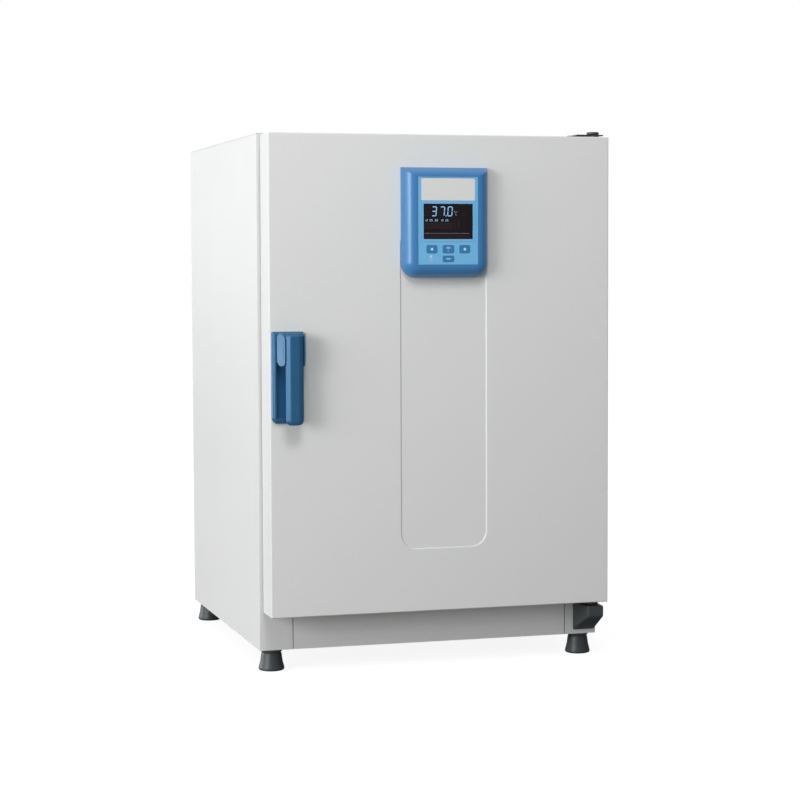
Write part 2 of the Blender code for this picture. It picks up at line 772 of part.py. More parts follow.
def make_shelf(name, ledge):
    """A slotted sheet shelf with turned-down lips at the front and the rear."""
    bottom = ledge_height(ledge) + LEDGE_T + GAP
    half = CH_X - SHELF_SIDE_CLEAR
    y0 = CH_F + SHELF_FRONT
    y1 = BAFFLE_Y - SHELF_REAR
    shelf = box(name, (-half, half), (y0, y1), (bottom, bottom + SHELF_T), STAINLESS)
    lip_half = CH_X - GAP - LEDGE_W - SHELF_SIDE_CLEAR
    span_x = 2 * (lip_half - SHELF_MARGIN)
    span_y = y1 - y0 - 2 * SHELF_MARGIN
    slot_w = (span_x + SLOT_BAR) / SLOT_COLUMNS - SLOT_BAR
    slot_l = (span_y + SLOT_BAR) / SLOT_ROWS - SLOT_BAR
    slots = []
    for column in range(SLOT_COLUMNS):
        x = -span_x / 2 + column * (slot_w + SLOT_BAR)
        for row in range(SLOT_ROWS):
            y = y0 + SHELF_MARGIN + row * (slot_l + SLOT_BAR)
            slots.append(((x, x + slot_w), (y, y + slot_l), (bottom - CUT, bottom + CUT)))
    cut(shelf, many_boxes(name + "_slots", slots))
    lips = [((-lip_half, lip_half), (y, y + SHELF_LIP_T), (bottom - SHELF_LIP, bottom + SHELF_T / 2))
            for y in (y0 + SHELF_T, y1 - SHELF_T - SHELF_LIP_T)]
    join(shelf, many_boxes(name + "_lips", lips))
    return shelf


def make_air_system():
    half = CH_X - BAFFLE_CLEAR
    low = CH_B + BAFFLE_CLEAR
    high = CH_T - BAFFLE_CLEAR
    baffle = box("air_baffle", (-half, half), (BAFFLE_Y, BAFFLE_Y + BAFFLE_T), (low, high), STAINLESS)
    legs_x = half - BAFFLE_LEG_INSET
    for i, (x, z) in enumerate([(-legs_x, low + BAFFLE_LEG_INSET), (legs_x, low + BAFFLE_LEG_INSET),
                                (-legs_x, high - BAFFLE_LEG_INSET), (legs_x, high - BAFFLE_LEG_INSET)]):
        join(baffle, along_y("baffle_leg_%d" % i, x, z, BAFFLE_Y + BAFFLE_T / 2, CH_R - GAP,
                             BAFFLE_LEG_R, sides=12))
    intake = along_y("intake", 0, CH_MID, BAFFLE_Y - CUT, BAFFLE_Y + CUT, INTAKE_R)
    cut(intake, along_y("intake_hub", 0, CH_MID, BAFFLE_Y - 2 * CUT, BAFFLE_Y + 2 * CUT, INTAKE_HUB_R))
    for i in range(INTAKE_SPOKES // 2):
        spoke = box("spoke_%d" % i, (-INTAKE_R - CUT, INTAKE_R + CUT),
                    (BAFFLE_Y - 2 * CUT, BAFFLE_Y + 2 * CUT), (CH_MID - SPOKE_W / 2, CH_MID + SPOKE_W / 2))
        spoke.rotation_euler = (0, math.pi * i / (INTAKE_SPOKES // 2), 0)
        cut(intake, spoke)
    cut(baffle, intake)
    outlets = []
    pitch = (high - low - 2 * OUTLET_INSET - OUTLET_H) / (OUTLET_ROWS - 1)
    for sign in (-1, 1):
        x = sign * (half - 2 * OUTLET_INSET)
        for row in range(OUTLET_ROWS):
            z = low + OUTLET_INSET + row * pitch
            outlets.append(((x - OUTLET_W / 2, x + OUTLET_W / 2), (BAFFLE_Y - CUT, BAFFLE_Y + CUT),
                            (z, z + OUTLET_H)))
    port_z = CH_T - PORT_DROP
    cut(baffle, many_boxes("outlets", outlets))
    cut(baffle, along_y("port_hole_baffle", PORT_X, port_z, BAFFLE_Y - CUT, BAFFLE_Y + CUT,
                        PORT_R + PORT_WALL + GAP))
    cut(baffle, along_y("probe_hole", PROBE_X, CH_T - PROBE_DROP, BAFFLE_Y - CUT, BAFFLE_Y + CUT,
                        PROBE_R + GAP, sides=16))

    wheel = along_y("fan_wheel", 0, CH_MID, FAN_BACK - FAN_DISC_T, FAN_BACK, FAN_R, STAINLESS)
    join(wheel, along_y("fan_hub", 0, CH_MID, FAN_FRONT, FAN_BACK - FAN_DISC_T / 2, FAN_HUB_R))
    for i in range(FAN_BLADES):
        blade = box("blade_%d" % i, (FAN_R - FAN_BLADE_L - FAN_DISC_T, FAN_R - FAN_DISC_T),
                    (FAN_FRONT, FAN_BACK - FAN_DISC_T / 2), (-FAN_BLADE_T / 2, FAN_BLADE_T / 2))
        turn = Matrix.Translation((0, 0, CH_MID)) @ Matrix.Rotation(math.tau * i / FAN_BLADES, 4, "Y")
        blade.matrix_world = turn @ Matrix.Translation(blade.location)
        join(wheel, blade)
    shaft_front = FAN_FRONT + FAN_T / 3
    shaft_end = CH_R + CHAMBER_SHEET + MOTOR_L / 2
    cut(wheel, along_y("hub_bore", 0, CH_MID, shaft_front - GAP, FAN_BACK + CUT, SHAFT_R + GAP))
    shaft = along_y("fan_shaft", 0, CH_MID, shaft_front, shaft_end, SHAFT_R, STEEL)
    motor_front = CH_R + CHAMBER_SHEET + GAP
    motor = along_y("fan_motor", 0, CH_MID, motor_front, motor_front + MOTOR_L, MOTOR_R, MOTOR_GREY)
    soften(motor, MOTOR_R / 14)
    cut(motor, along_y("motor_bore", 0, CH_MID, motor_front - CUT, shaft_end + GAP, SHAFT_R + GAP))
    holder("fan_axis", (0, FAN_BACK, CH_MID), [wheel, shaft])

    make_heater()
    probe_end = CH_R - GAP
    probe = along_y("temperature_probe", PROBE_X, CH_T - PROBE_DROP, probe_end - PROBE_L, probe_end,
                    PROBE_R, STEEL, 16)
    join(probe, along_y("probe_flange", PROBE_X, CH_T - PROBE_DROP, probe_end - PROBE_FLANGE_T,
                        probe_end, PROBE_FLANGE_R, sides=16))


def make_heater():
    """Tubular heater: an open ring round the fan whose ends turn back to the rear wall."""
    ring_y = (FAN_FRONT + FAN_BACK) / 2
    start = 90 - HEATER_SWEEP / 2
    path = [(HEATER_R * math.cos(math.radians(start)), CH_R - GAP, HEATER_R * math.sin(math.radians(start)))]
    for i in range(HEATER_STEPS + 1):
        angle = math.radians(start + HEATER_SWEEP * i / HEATER_STEPS)
        path.append((HEATER_R * math.cos(angle), ring_y, HEATER_R * math.sin(angle)))
    path.append((path[-1][0], CH_R - GAP, path[-1][2]))
    curve = bpy.data.curves.new("heater_element", "CURVE")
    curve.dimensions = "3D"
    curve.bevel_depth = HEATER_TUBE_R
    curve.bevel_resolution = 2
    curve.use_fill_caps = True
    spline = curve.splines.new("POLY")
    spline.points.add(len(path) - 1)
    for point, (x, y, z) in zip(spline.points, path):
        point.co = (x, y, z + CH_MID, 1)
    curve.materials.append(STEEL)
    PARTS.objects.link(bpy.data.objects.new("heater_element", curve))


def make_port():
    z = CH_T - PORT_DROP
    front = BAFFLE_Y - PORT_REACH
    flange_front = Y_R + GAP
    flange_back = flange_front + PORT_FLANGE_T
    tube = along_y("access_port_tube", PORT_X, z, front, flange_back - GAP, PORT_R + PORT_WALL, CHARCOAL)
    join(tube, along_y("port_flange", PORT_X, z, flange_front, flange_back, PORT_FLANGE_R))
    cut(tube, along_y("port_bore", PORT_X, z, front - CUT, flange_back + CUT, PORT_R))
    plug_back = Y_R + REAR_PROUD
    plug = along_y("access_port_plug", PORT_X, z, plug_back - PLUG_L, plug_back - GAP, PLUG_R, SILICONE)
    join(plug, along_y("plug_flange", PORT_X, z, flange_back + GAP, plug_back, PLUG_FLANGE_R))
    holder("plug_axis", (PORT_X, plug_back, z), [plug])


def make_electrics():
    z = Z_B + INLET_UP
    half_w = INLET_W / 2
    half_h = INLET_H / 2
    back = Y_R + GAP + INLET_RIM_T
    inlet = box("mains_inlet", (INLET_X - half_w, INLET_X + half_w), (back - INLET_L, back - GAP),
                (z - half_h, z + half_h), CHARCOAL)
    rim = INLET_RIM
    join(inlet, box("inlet_rim", (INLET_X - half_w - rim, INLET_X + half_w + rim), (Y_R + GAP, back),
                    (z - half_h - rim, z + half_h + rim)))
    socket_w = INLET_SOCKET_W / 2
    socket_h = INLET_SOCKET_H / 2
    floor = back - INLET_SOCKET_L
    cut(inlet, box("inlet_socket", (INLET_X - socket_w, INLET_X + socket_w), (floor, back + CUT),
                   (z - socket_h, z + socket_h)))
    pins = []
    for step, level in ((-1, -0.25), (0, 0.25), (1, -0.25)):
        x = INLET_X + step * INLET_PIN_PITCH
        pin_z = z + level * INLET_SOCKET_H
        pins.append(((x - INLET_PIN_W / 2, x + INLET_PIN_W / 2),
                     (floor - INLET_PIN_ROOT, back - INLET_PIN_SHORT),
                     (pin_z - INLET_PIN_H / 2, pin_z + INLET_PIN_H / 2)))
    join(inlet, many_boxes("inlet_pins", pins))

    stand = Z_B + BASE_T + GAP
    board_z = stand + BOARD_STAND
    y1 = Y_R - BOARD_SETBACK
    y0 = y1 - BOARD_D
    x0 = BOARD_X - BOARD_W / 2
    x1 = BOARD_X + BOARD_W / 2
    board = box("power_board", (x0, x1), (y0, y1), (board_z, board_z + BOARD_T), BOARD_GREEN)
    leg = BOARD_STAND / 2
    legs = [((x - leg, x + leg), (y - leg, y + leg), (stand, board_z + BOARD_T / 2))
            for x in (x0 + 2 * leg, x1 - 2 * leg) for y in (y0 + 2 * leg, y1 - 2 * leg)]
    lift = board_z + BOARD_T / 2
    room = Z_PLINTH - DECK_T - lift
    blocks = [((x0 + u0 * BOARD_W, x0 + u1 * BOARD_W), (y0 + v0 * BOARD_D, y0 + v1 * BOARD_D),
               (lift, lift + tall * room)) for u0, u1, v0, v1, tall in BOARD_BLOCKS]
    join(board, many_boxes("board_legs", legs), many_boxes("board_blocks", blocks))


def make_glass_door():
    pane = box("glass_pane", (-GLASS_X, GLASS_X), (GLASS_FRONT, GLASS_BACK), (GLASS_Z0, GLASS_Z1),
               CLEAR_GLASS)
    pieces = [pane]
    for name, z in (("upper", GLASS_Z1 - GLASS_HINGE_INSET), ("lower", GLASS_Z0 + GLASS_HINGE_INSET)):
        leaf_back = GLASS_FRONT - GAP
        leaf_end = GLASS_AXIS_X - KNUCKLE_R / 2
        leaf = box("glass_hinge_" + name, (GLASS_X - LEAF_W, leaf_end), (leaf_back - LEAF_T, leaf_back),
                   (z, z + LEAF_H), STAINLESS)
        join(leaf, box("leaf_step_" + name, (leaf_end - KNUCKLE_R * 1.5, leaf_end + KNUCKLE_R / 4),
                       (GLASS_AXIS_Y, leaf_back - GAP), (z + GAP, z + LEAF_H - GAP)))
        join(leaf, along_z("leaf_knuckle_" + name, GLASS_AXIS_X, GLASS_AXIS_Y, z + GAP / 2,
                           z + LEAF_H - GAP / 2, KNUCKLE_R, sides=20))
        cut(leaf, along_z("leaf_bore_" + name, GLASS_AXIS_X, GLASS_AXIS_Y, z - CUT, z + LEAF_H + CUT,
                          GLASS_PIN_R + GAP, sides=16))
        pieces.append(leaf)

        plate_x0 = CH_X + GLASS_RECESS + KNUCKLE_R / 2
        low = z - LEAF_H
        bracket = box("glass_bracket_" + name, (plate_x0, plate_x0 + BRACKET_W),
                      (Y_F - GAP - BRACKET_T, Y_F - GAP), (low, z - GAP), STAINLESS)
        join(bracket, box("bracket_step_" + name, (GLASS_AXIS_X, plate_x0 + BRACKET_W / 2),
                          (GLASS_AXIS_Y - KNUCKLE_R / 2, Y_F - 2 * GAP), (low + GAP, z - 2 * GAP)))
        join(bracket, along_z("bracket_knuckle_" + name, GLASS_AXIS_X, GLASS_AXIS_Y, low + GAP / 2,
                              z - GAP * 1.5, KNUCKLE_R, sides=20))
        join(bracket, along_z("bracket_pin_" + name, GLASS_AXIS_X, GLASS_AXIS_Y, z - LEAF_H / 2,
                              z + LEAF_H - 2 * GAP, GLASS_PIN_R, sides=16))
    profile = [(KNOB_R * r, KNOB_L * h) for r, h in KNOB_PROFILE]
    knob = turned("glass_door_knob", profile, CHARCOAL,
                  (-GLASS_X + KNOB_INSET, GLASS_FRONT - GAP, CH_MID), 24)
    knob.rotation_euler = (math.pi / 2, 0, 0)
    pieces.append(knob)
    holder("glass_door_axis", (GLASS_AXIS_X, GLASS_AXIS_Y, CH_MID), pieces)


def groove_outline(grow):
    """The pressed field below the control unit, square at its hidden top, grown by a margin."""
    x0 = FACE_X - GROOVE_W / 2 - grow
    x1 = FACE_X + GROOVE_W / 2 + grow
    z0 = DOOR_Z0 + GROOVE_BOTTOM - grow
    z1 = UNIT_Z1 - GROOVE_TOP_DROP + grow
    radius = GROOVE_CORNER + grow
    left = arc(x0 + radius, z0 + radius, radius, 180, 270)
    right = arc(x1 - radius, z0 + radius, radius, 270, 360)
    return left + right + [(x1, z1), (x0, z1)]


def latch_slot(name, y0, y1, width=HOOK_T, above=0.0):
    """The clear space that the latch hook needs where it passes through the door."""
    side = width / 2 + HOOK_SLOT_SIDE
    return box(name, (HOOK_X - side, HOOK_X + side), (y0, y1),
               (PIVOT_Z - HOOK_H / 2 - HOOK_DROP_ROOM, HOOK_TOP + above + HOOK_SLOT_SIDE))


def keeper_slot(name, y0, y1):
    """The same space, widened for the keeper that reaches in from the cabinet."""
    return latch_slot(name, y0, y1, KEEPER_W, HOOK_PASS + 2 * KEEPER_T)


def make_door():
    """Pressed steel outer shell, insulation, dished inner panel and the magnetic seal."""
    bm = bmesh.new()
    bmesh.ops.create_cube(bm, size=1.0)
    size = (DOOR_X1 - DOOR_X0, DOOR_T, DOOR_Z1 - DOOR_Z0)
    bmesh.ops.scale(bm, vec=size, verts=bm.verts)
    centre = ((DOOR_X0 + DOOR_X1) / 2, (DOOR_FRONT + DOOR_BACK) / 2, (DOOR_Z0 + DOOR_Z1) / 2)
    bmesh.ops.translate(bm, vec=centre, verts=bm.verts)
    rear = max(bm.faces, key=lambda face: face.calc_center_median().y)
    bmesh.ops.delete(bm, geom=[rear], context="FACES_ONLY")
    mesh = bpy.data.meshes.new("door_shell")
    bm.to_mesh(mesh)
    bm.free()
    shell = place("door_shell", mesh, WHITE_PAINT)
    soften(shell, DOOR_EDGE, 3)
    thicken(shell, DOOR_SHEET, -1)
    depth = GROOVE_DEPTH + DOOR_SHEET / 2
    join(shell, outline_solid("groove_back", [groove_outline(DOOR_SHEET)], depth,
                              facing_front(DOOR_FRONT + DOOR_SHEET / 2 + depth / 2), None))
    cut(shell, outline_solid("groove", [groove_outline(0)], 2 * CUT,
                             facing_front(DOOR_FRONT + GROOVE_DEPTH - CUT), None))
    cut(shell, latch_slot("shell_slot", DOOR_FRONT - CUT, DOOR_FRONT + CUT))
    cut(shell, along_z("top_bush_hole", HINGE_X, HINGE_Y, DOOR_Z1 - CUT, DOOR_Z1 + CUT, BUSH_R + GAP))
    cut(shell, along_z("bottom_pin_hole", HINGE_X, HINGE_Y, DOOR_Z0 - CUT, DOOR_Z0 + CUT,
                       HINGE_PIN_R + GAP))
    cable_z = (UNIT_Z0 + UNIT_Z1) / 2
    cut(shell, along_y("cable_hole", FACE_X, cable_z, DOOR_FRONT - CUT, DOOR_FRONT + CUT, HINGE_PIN_R * 2))

    inset = DOOR_SHEET + GAP
    fill_front = DOOR_FRONT + DOOR_SHEET + GROOVE_DEPTH + GAP
    dish_floor = DOOR_BACK - LINER_T - LINER_DISH
    fill = box("door_insulation", (DOOR_X0 + inset, DOOR_X1 - inset), (fill_front, dish_floor - GAP),
               (DOOR_Z0 + inset, DOOR_Z1 - inset), WOOL)
    cut(fill, keeper_slot("fill_slot", fill_front - CUT, dish_floor + CUT))
    deep = BUSH_L + 2 * PIN_ENGAGE
    cut(fill, along_z("fill_top_pin", HINGE_X, HINGE_Y, DOOR_Z1 - deep, DOOR_Z1 + CUT, BUSH_R + GAP))
    cut(fill, along_z("fill_bottom_pin", HINGE_X, HINGE_Y, DOOR_Z0 - CUT, DOOR_Z0 + deep, BUSH_R + GAP))

    liner = make_liner(inset)
    cut(liner, keeper_slot("liner_slot", DOOR_BACK - CUT, DOOR_BACK + CUT))

    seal_x = CASE_W / 2 - SEAL_INSET
    seal_z0 = DOOR_Z0 + SEAL_END_INSET
    seal_z1 = DOOR_Z1 - SEAL_END_INSET
    seal = box("door_gasket", (-seal_x, seal_x), (DOOR_BACK + GAP, Y_F - GAP), (seal_z0, seal_z1), RUBBER)
    cut(seal, box("door_gasket_opening", (-seal_x + SEAL_W, seal_x - SEAL_W), (DOOR_BACK - CUT, Y_F + CUT),
                  (seal_z0 + SEAL_W, seal_z1 - SEAL_W)))
    return [shell, fill, liner, seal]


def make_liner(inset):
    """Inner door panel, with a shallow dish opposite the glass door."""
    x_rim = (DOOR_X0 + inset, DOOR_X1 - inset)
    z_rim = (DOOR_Z0 + inset, DOOR_Z1 - inset)
    dish_half = CH_X + GLASS_RECESS + LINER_MARGIN
    x_dish = (-dish_half, dish_half)
    z_dish = (CH_B - GLASS_RECESS - LINER_MARGIN, CH_T + GLASS_RECESS + LINER_MARGIN)
    s = LINER_SLOPE
    loops = [(x_rim, z_rim, DOOR_BACK), (x_dish, z_dish, DOOR_BACK),
             ((x_dish[0] + s, x_dish[1] - s), (z_dish[0] + s, z_dish[1] - s), DOOR_BACK - LINER_DISH)]
    bm = bmesh.new()
    bmesh.ops.create_grid(bm, x_segments=1, y_segments=1, size=0.5,
                          matrix=Matrix.Rotation(-math.pi / 2, 4, "X"))
    face = bm.faces[:][0]
    set_corners(face, loops[0])
    for loop in loops[1:]:
        bmesh.ops.inset_region(bm, faces=[face], thickness=s, use_boundary=True)
        set_corners(face, loop)
    bm.normal_update()
    if face.normal.y < 0:
        bmesh.ops.reverse_faces(bm, faces=bm.faces)
    mesh = bpy.data.meshes.new("door_inner_panel")
    bm.to_mesh(mesh)
    bm.free()
    liner = place("door_inner_panel", mesh, STAINLESS)
    thicken(liner, LINER_T, -1)
    return liner


def set_corners(face, loop):
    """Move a rectangular face's corners to the given limits at one depth."""
    (x0, x1), (z0, z1), y = loop
    middle = face.calc_center_median()
    for vert in face.verts:
        x = x0 if vert.co.x < middle.x else x1
        z = z0 if vert.co.z < middle.z else z1
        vert.co = (x, y, z)


def make_hinges():
    """Pins on the door's axis at its top and foot, with the bracket, cap, housing and bushes."""
    plate_z = Z_T + GAP
    plate_top = plate_z + TOP_PLATE_T
    plate_x1 = X_R - TOP_PLATE_INSET
    bracket = box("top_hinge_bracket", (plate_x1 - TOP_PLATE_W, plate_x1),
                  (Y_F - TOP_PLATE_FORWARD, Y_F + TOP_PLATE_BACK), (plate_z, plate_top), CHARCOAL)
    soften(bracket, TOP_PLATE_T / 4, 1)
    cut(bracket, along_z("bracket_pin_hole", HINGE_X, HINGE_Y, plate_z - CUT, plate_top + CUT,
                         HINGE_PIN_R + GAP))
    cap_foot = plate_top + GAP
    cap = along_z("top_hinge_cap", HINGE_X, HINGE_Y, cap_foot, cap_foot + TOP_CAP_H, TOP_CAP_R, CHARCOAL)
    soften(cap, TOP_CAP_H / 3, 2)
    along_z("top_hinge_pin", HINGE_X, HINGE_Y, DOOR_Z1 - PIN_ENGAGE, plate_top, HINGE_PIN_R, STEEL, 24)

    bush_top = DOOR_Z1 + GAP + BUSH_FLANGE_T
    bush = along_z("top_hinge_bush", HINGE_X, HINGE_Y, DOOR_Z1 - BUSH_L, bush_top - GAP, BUSH_R, BRONZE, 24)
    join(bush, along_z("bush_flange", HINGE_X, HINGE_Y, DOOR_Z1 + GAP, bush_top, BUSH_FLANGE_R, sides=24))
    cut(bush, along_z("bush_bore", HINGE_X, HINGE_Y, DOOR_Z1 - BUSH_L - CUT, bush_top + CUT,
                      HINGE_PIN_R + GAP, sides=24))

    base_x1 = X_R - NOSE_BASE_INSET
    nose_x1 = X_R - NOSE_INSET
    base_y = Y_F - GAP
    nose_y = Y_F - NOSE_REACH
    sections = []
    for x0, x1, y, low in ((base_x1 - NOSE_BASE_W, base_x1, base_y, NOSE_FOOT),
                           (nose_x1 - NOSE_W, nose_x1, nose_y, NOSE_BOTTOM)):
        sections.append([(x0, y, Z_B + low), (x1, y, Z_B + low), (x1, y, Z_B + NOSE_TOP),
                         (x0, y, Z_B + NOSE_TOP)])
    housing = lofted("bottom_hinge_housing", sections, CHARCOAL)
    soften(housing, NOSE_EDGE, 3)
    seat = Z_B + NOSE_TOP
    pin_top = DOOR_Z0 + PIN_ENGAGE
    pin_foot = seat - PIN_ENGAGE
    cut(housing, along_z("housing_bore", HINGE_X, HINGE_Y, pin_foot - GAP, seat + CUT, HINGE_PIN_R + GAP,
                         sides=24))
    along_z("bottom_hinge_pin", HINGE_X, HINGE_Y, pin_foot, pin_top, HINGE_PIN_R, STEEL, 24)
    washer = along_z("bottom_hinge_bush", HINGE_X, HINGE_Y, seat + GAP, DOOR_Z0 - GAP, WASHER_R, BRONZE, 28)
    cut(washer, along_z("washer_bore", HINGE_X, HINGE_Y, seat - CUT, DOOR_Z0 + CUT, HINGE_PIN_R + GAP,
                        sides=24))
    return [bush]


def handle_cheek(side, sign):
    """One ear beside the grip: rounded in side view, in plan straight and then thinner to its tip."""
    front = HANDLE_FRONT + CHEEK_SHORT
    back = HANDLE_BACK - HANDLE_FLOOR_T / 2
    shoulder = HANDLE_BACK - HANDLE_BASE_T - CHEEK_SHOULDER
    top = HANDLE_Z1 - GAP
    inner = GRIP_CX + sign * (GRIP_W / 2 + GAP)
    outer = HANDLE_CX + sign * HANDLE_W / 2 - GAP + (HANDLE_BORDER if side == "left" else 0)
    c = CHEEK_CORNER
    profile = rounded_outline(front, back, top - CHEEK_H, top, (c, GAP, GAP, CHEEK_TOP_CORNER), 4)
    cheek = outline_solid("cheek_" + side, [profile], abs(outer - inner),
                          facing_side((inner + outer) / 2), None)
    plan = [(inner, back), (outer, back), (outer, shoulder),
            (inner + sign * CHEEK_TIP_T, front), (inner, front)]
    taper = outline_solid("cheek_taper_" + side, [plan], CHEEK_H + CUT,
                          Matrix.Translation((0, 0, top - CHEEK_H / 2)), None)
    combine(cheek, taper, "INTERSECT")
    return cheek


def make_handle():
    """Handle base with two cheeks, the grip that turns between them, its pin and the latch hook."""
    x0 = HANDLE_CX - HANDLE_W / 2
    x1 = HANDLE_CX + HANDLE_W / 2
    plate_front = HANDLE_BACK - HANDLE_BASE_T
    c = HANDLE_CORNER
    upper = HANDLE_TOP_CORNER
    face = rounded_outline(x0, x1, HANDLE_Z0, HANDLE_Z1, (c, c, upper, upper), 4)
    base = outline_solid("handle_base", [face], HANDLE_BASE_T,
                         facing_front((HANDLE_BACK + plate_front) / 2), HANDLE_BLUE)
    soften(base, HANDLE_BASE_T / 4, 2)
    b = HANDLE_BORDER
    cut(base, box("handle_recess", (x0 + b, x1 - b), (plate_front - CUT, HANDLE_BACK - HANDLE_FLOOR_T),
                  (HANDLE_Z0 + b, HANDLE_Z1 - b)))
    for side, sign in (("left", -1), ("right", 1)):
        join(base, handle_cheek(side, sign))
    cut(base, latch_slot("base_slot", plate_front - CUT, HANDLE_BACK + CUT))
    pin_l = GRIP_W + 2 * (GAP + PIN_SEAT)
    cut(base, cylinder("handle_pin_hole", (GRIP_CX, PIVOT_Y, PIVOT_Z), "X", HANDLE_PIN_R + GAP,
                       pin_l + 2 * GAP, sides=16))
    pin = cylinder("handle_pin", (GRIP_CX, PIVOT_Y, PIVOT_Z), "X", HANDLE_PIN_R, pin_l, STEEL, 16)

    grip_x = (GRIP_CX - GRIP_W / 2, GRIP_CX + GRIP_W / 2)
    grip_z = (HANDLE_Z0 - GRIP_LONGER, HANDLE_Z1 - GRIP_TOP_DROP)
    grip_face = rounded_outline(*grip_x, *grip_z, (GRIP_TIP, GRIP_TIP, GRIP_EDGE, GRIP_EDGE), 4)
    grip = outline_solid("handle_grip", [grip_face], GRIP_T, facing_front(HANDLE_FRONT + GRIP_T / 2),
                         HANDLE_BLUE)
    soften(grip, GRIP_EDGE, 3)
    hub_back = PIVOT_Y + HUB_T
    hub = box("grip_hub", (grip_x[0] + GAP, grip_x[1] - GAP), (HANDLE_FRONT + GRIP_T / 2, hub_back),
              (PIVOT_Z - HUB_H / 2, PIVOT_Z + HUB_H / 2), None, GRIP_EDGE, 2)
    join(grip, hub)
    cut(grip, cylinder("grip_bore", (GRIP_CX, PIVOT_Y, PIVOT_Z), "X", HANDLE_PIN_R + GAP,
                       GRIP_W + CUT, sides=16))
    side = HOOK_T / 2 + GAP
    cut(grip, box("hook_socket", (HOOK_X - side, HOOK_X + side), (hub_back - HUB_T / 2, hub_back + CUT),
                  (PIVOT_Z - HOOK_H / 2 - GAP, HOOK_TOP + GAP)))

    hook_start = hub_back - HUB_T / 2 + GAP
    nose_start = HOOK_END - HOOK_NOSE_L
    top = HOOK_TOP
    outline = [(hook_start, PIVOT_Z - HOOK_H / 2), (HOOK_END, PIVOT_Z - HOOK_H / 2),
               (HOOK_END, top - HOOK_NOSE_H / 3), (nose_start + HOOK_NOSE_L / 3, top),
               (nose_start, top), (nose_start, top - HOOK_NOSE_H),
               (nose_start - HOOK_NOSE_L, top - HOOK_NOSE_H),
               (hub_back + HOOK_NOSE_L, top), (hook_start, top)]
    hook = outline_solid("latch_hook", [outline], HOOK_T, facing_side(HOOK_X), STEEL)

    lip_low = HOOK_TOP + HOOK_PASS
    keeper_back = Y_F - GAP
    keeper_front = keeper_back - KEEPER_REACH
    half = KEEPER_W / 2
    plate = KEEPER_PLATE_W / 2
    lip_top = lip_low + 2 * KEEPER_T
    keeper = box("latch_keeper", (HOOK_X - plate, HOOK_X + plate), (keeper_back - KEEPER_T, keeper_back),
                 (lip_low - KEEPER_PLATE_DOWN, lip_top + KEEPER_PLATE_UP), STEEL)
    join(keeper, box("keeper_arm", (HOOK_X - half, HOOK_X + half), (keeper_front, keeper_back - KEEPER_T / 2),
                     (lip_top - KEEPER_T, lip_top)))
    join(keeper, box("keeper_lip", (HOOK_X - half + GAP, HOOK_X + half - GAP),
                     (keeper_front + GAP, keeper_front + KEEPER_T), (lip_low, lip_top - GAP)))
    lever = holder("handle_axis", (GRIP_CX, PIVOT_Y, PIVOT_Z), [grip, hook])
    return [base, pin, lever]


def unit_section(y, side, top, bottom, corner):
    """One outline of the control unit's housing, with its own inset on the sides, top and bottom."""
    x0 = FACE_X - UNIT_W / 2 + side
    x1 = FACE_X + UNIT_W / 2 - side
    z0 = UNIT_Z0 + bottom
    z1 = UNIT_Z1 - top
    flat = arc(x0 + corner, z0 + corner, corner, 180, 270) + arc(x1 - corner, z0 + corner, corner, 270, 360)
    return [(x, y, z) for x, z in flat + [(x1, z1), (x0, z1)]]


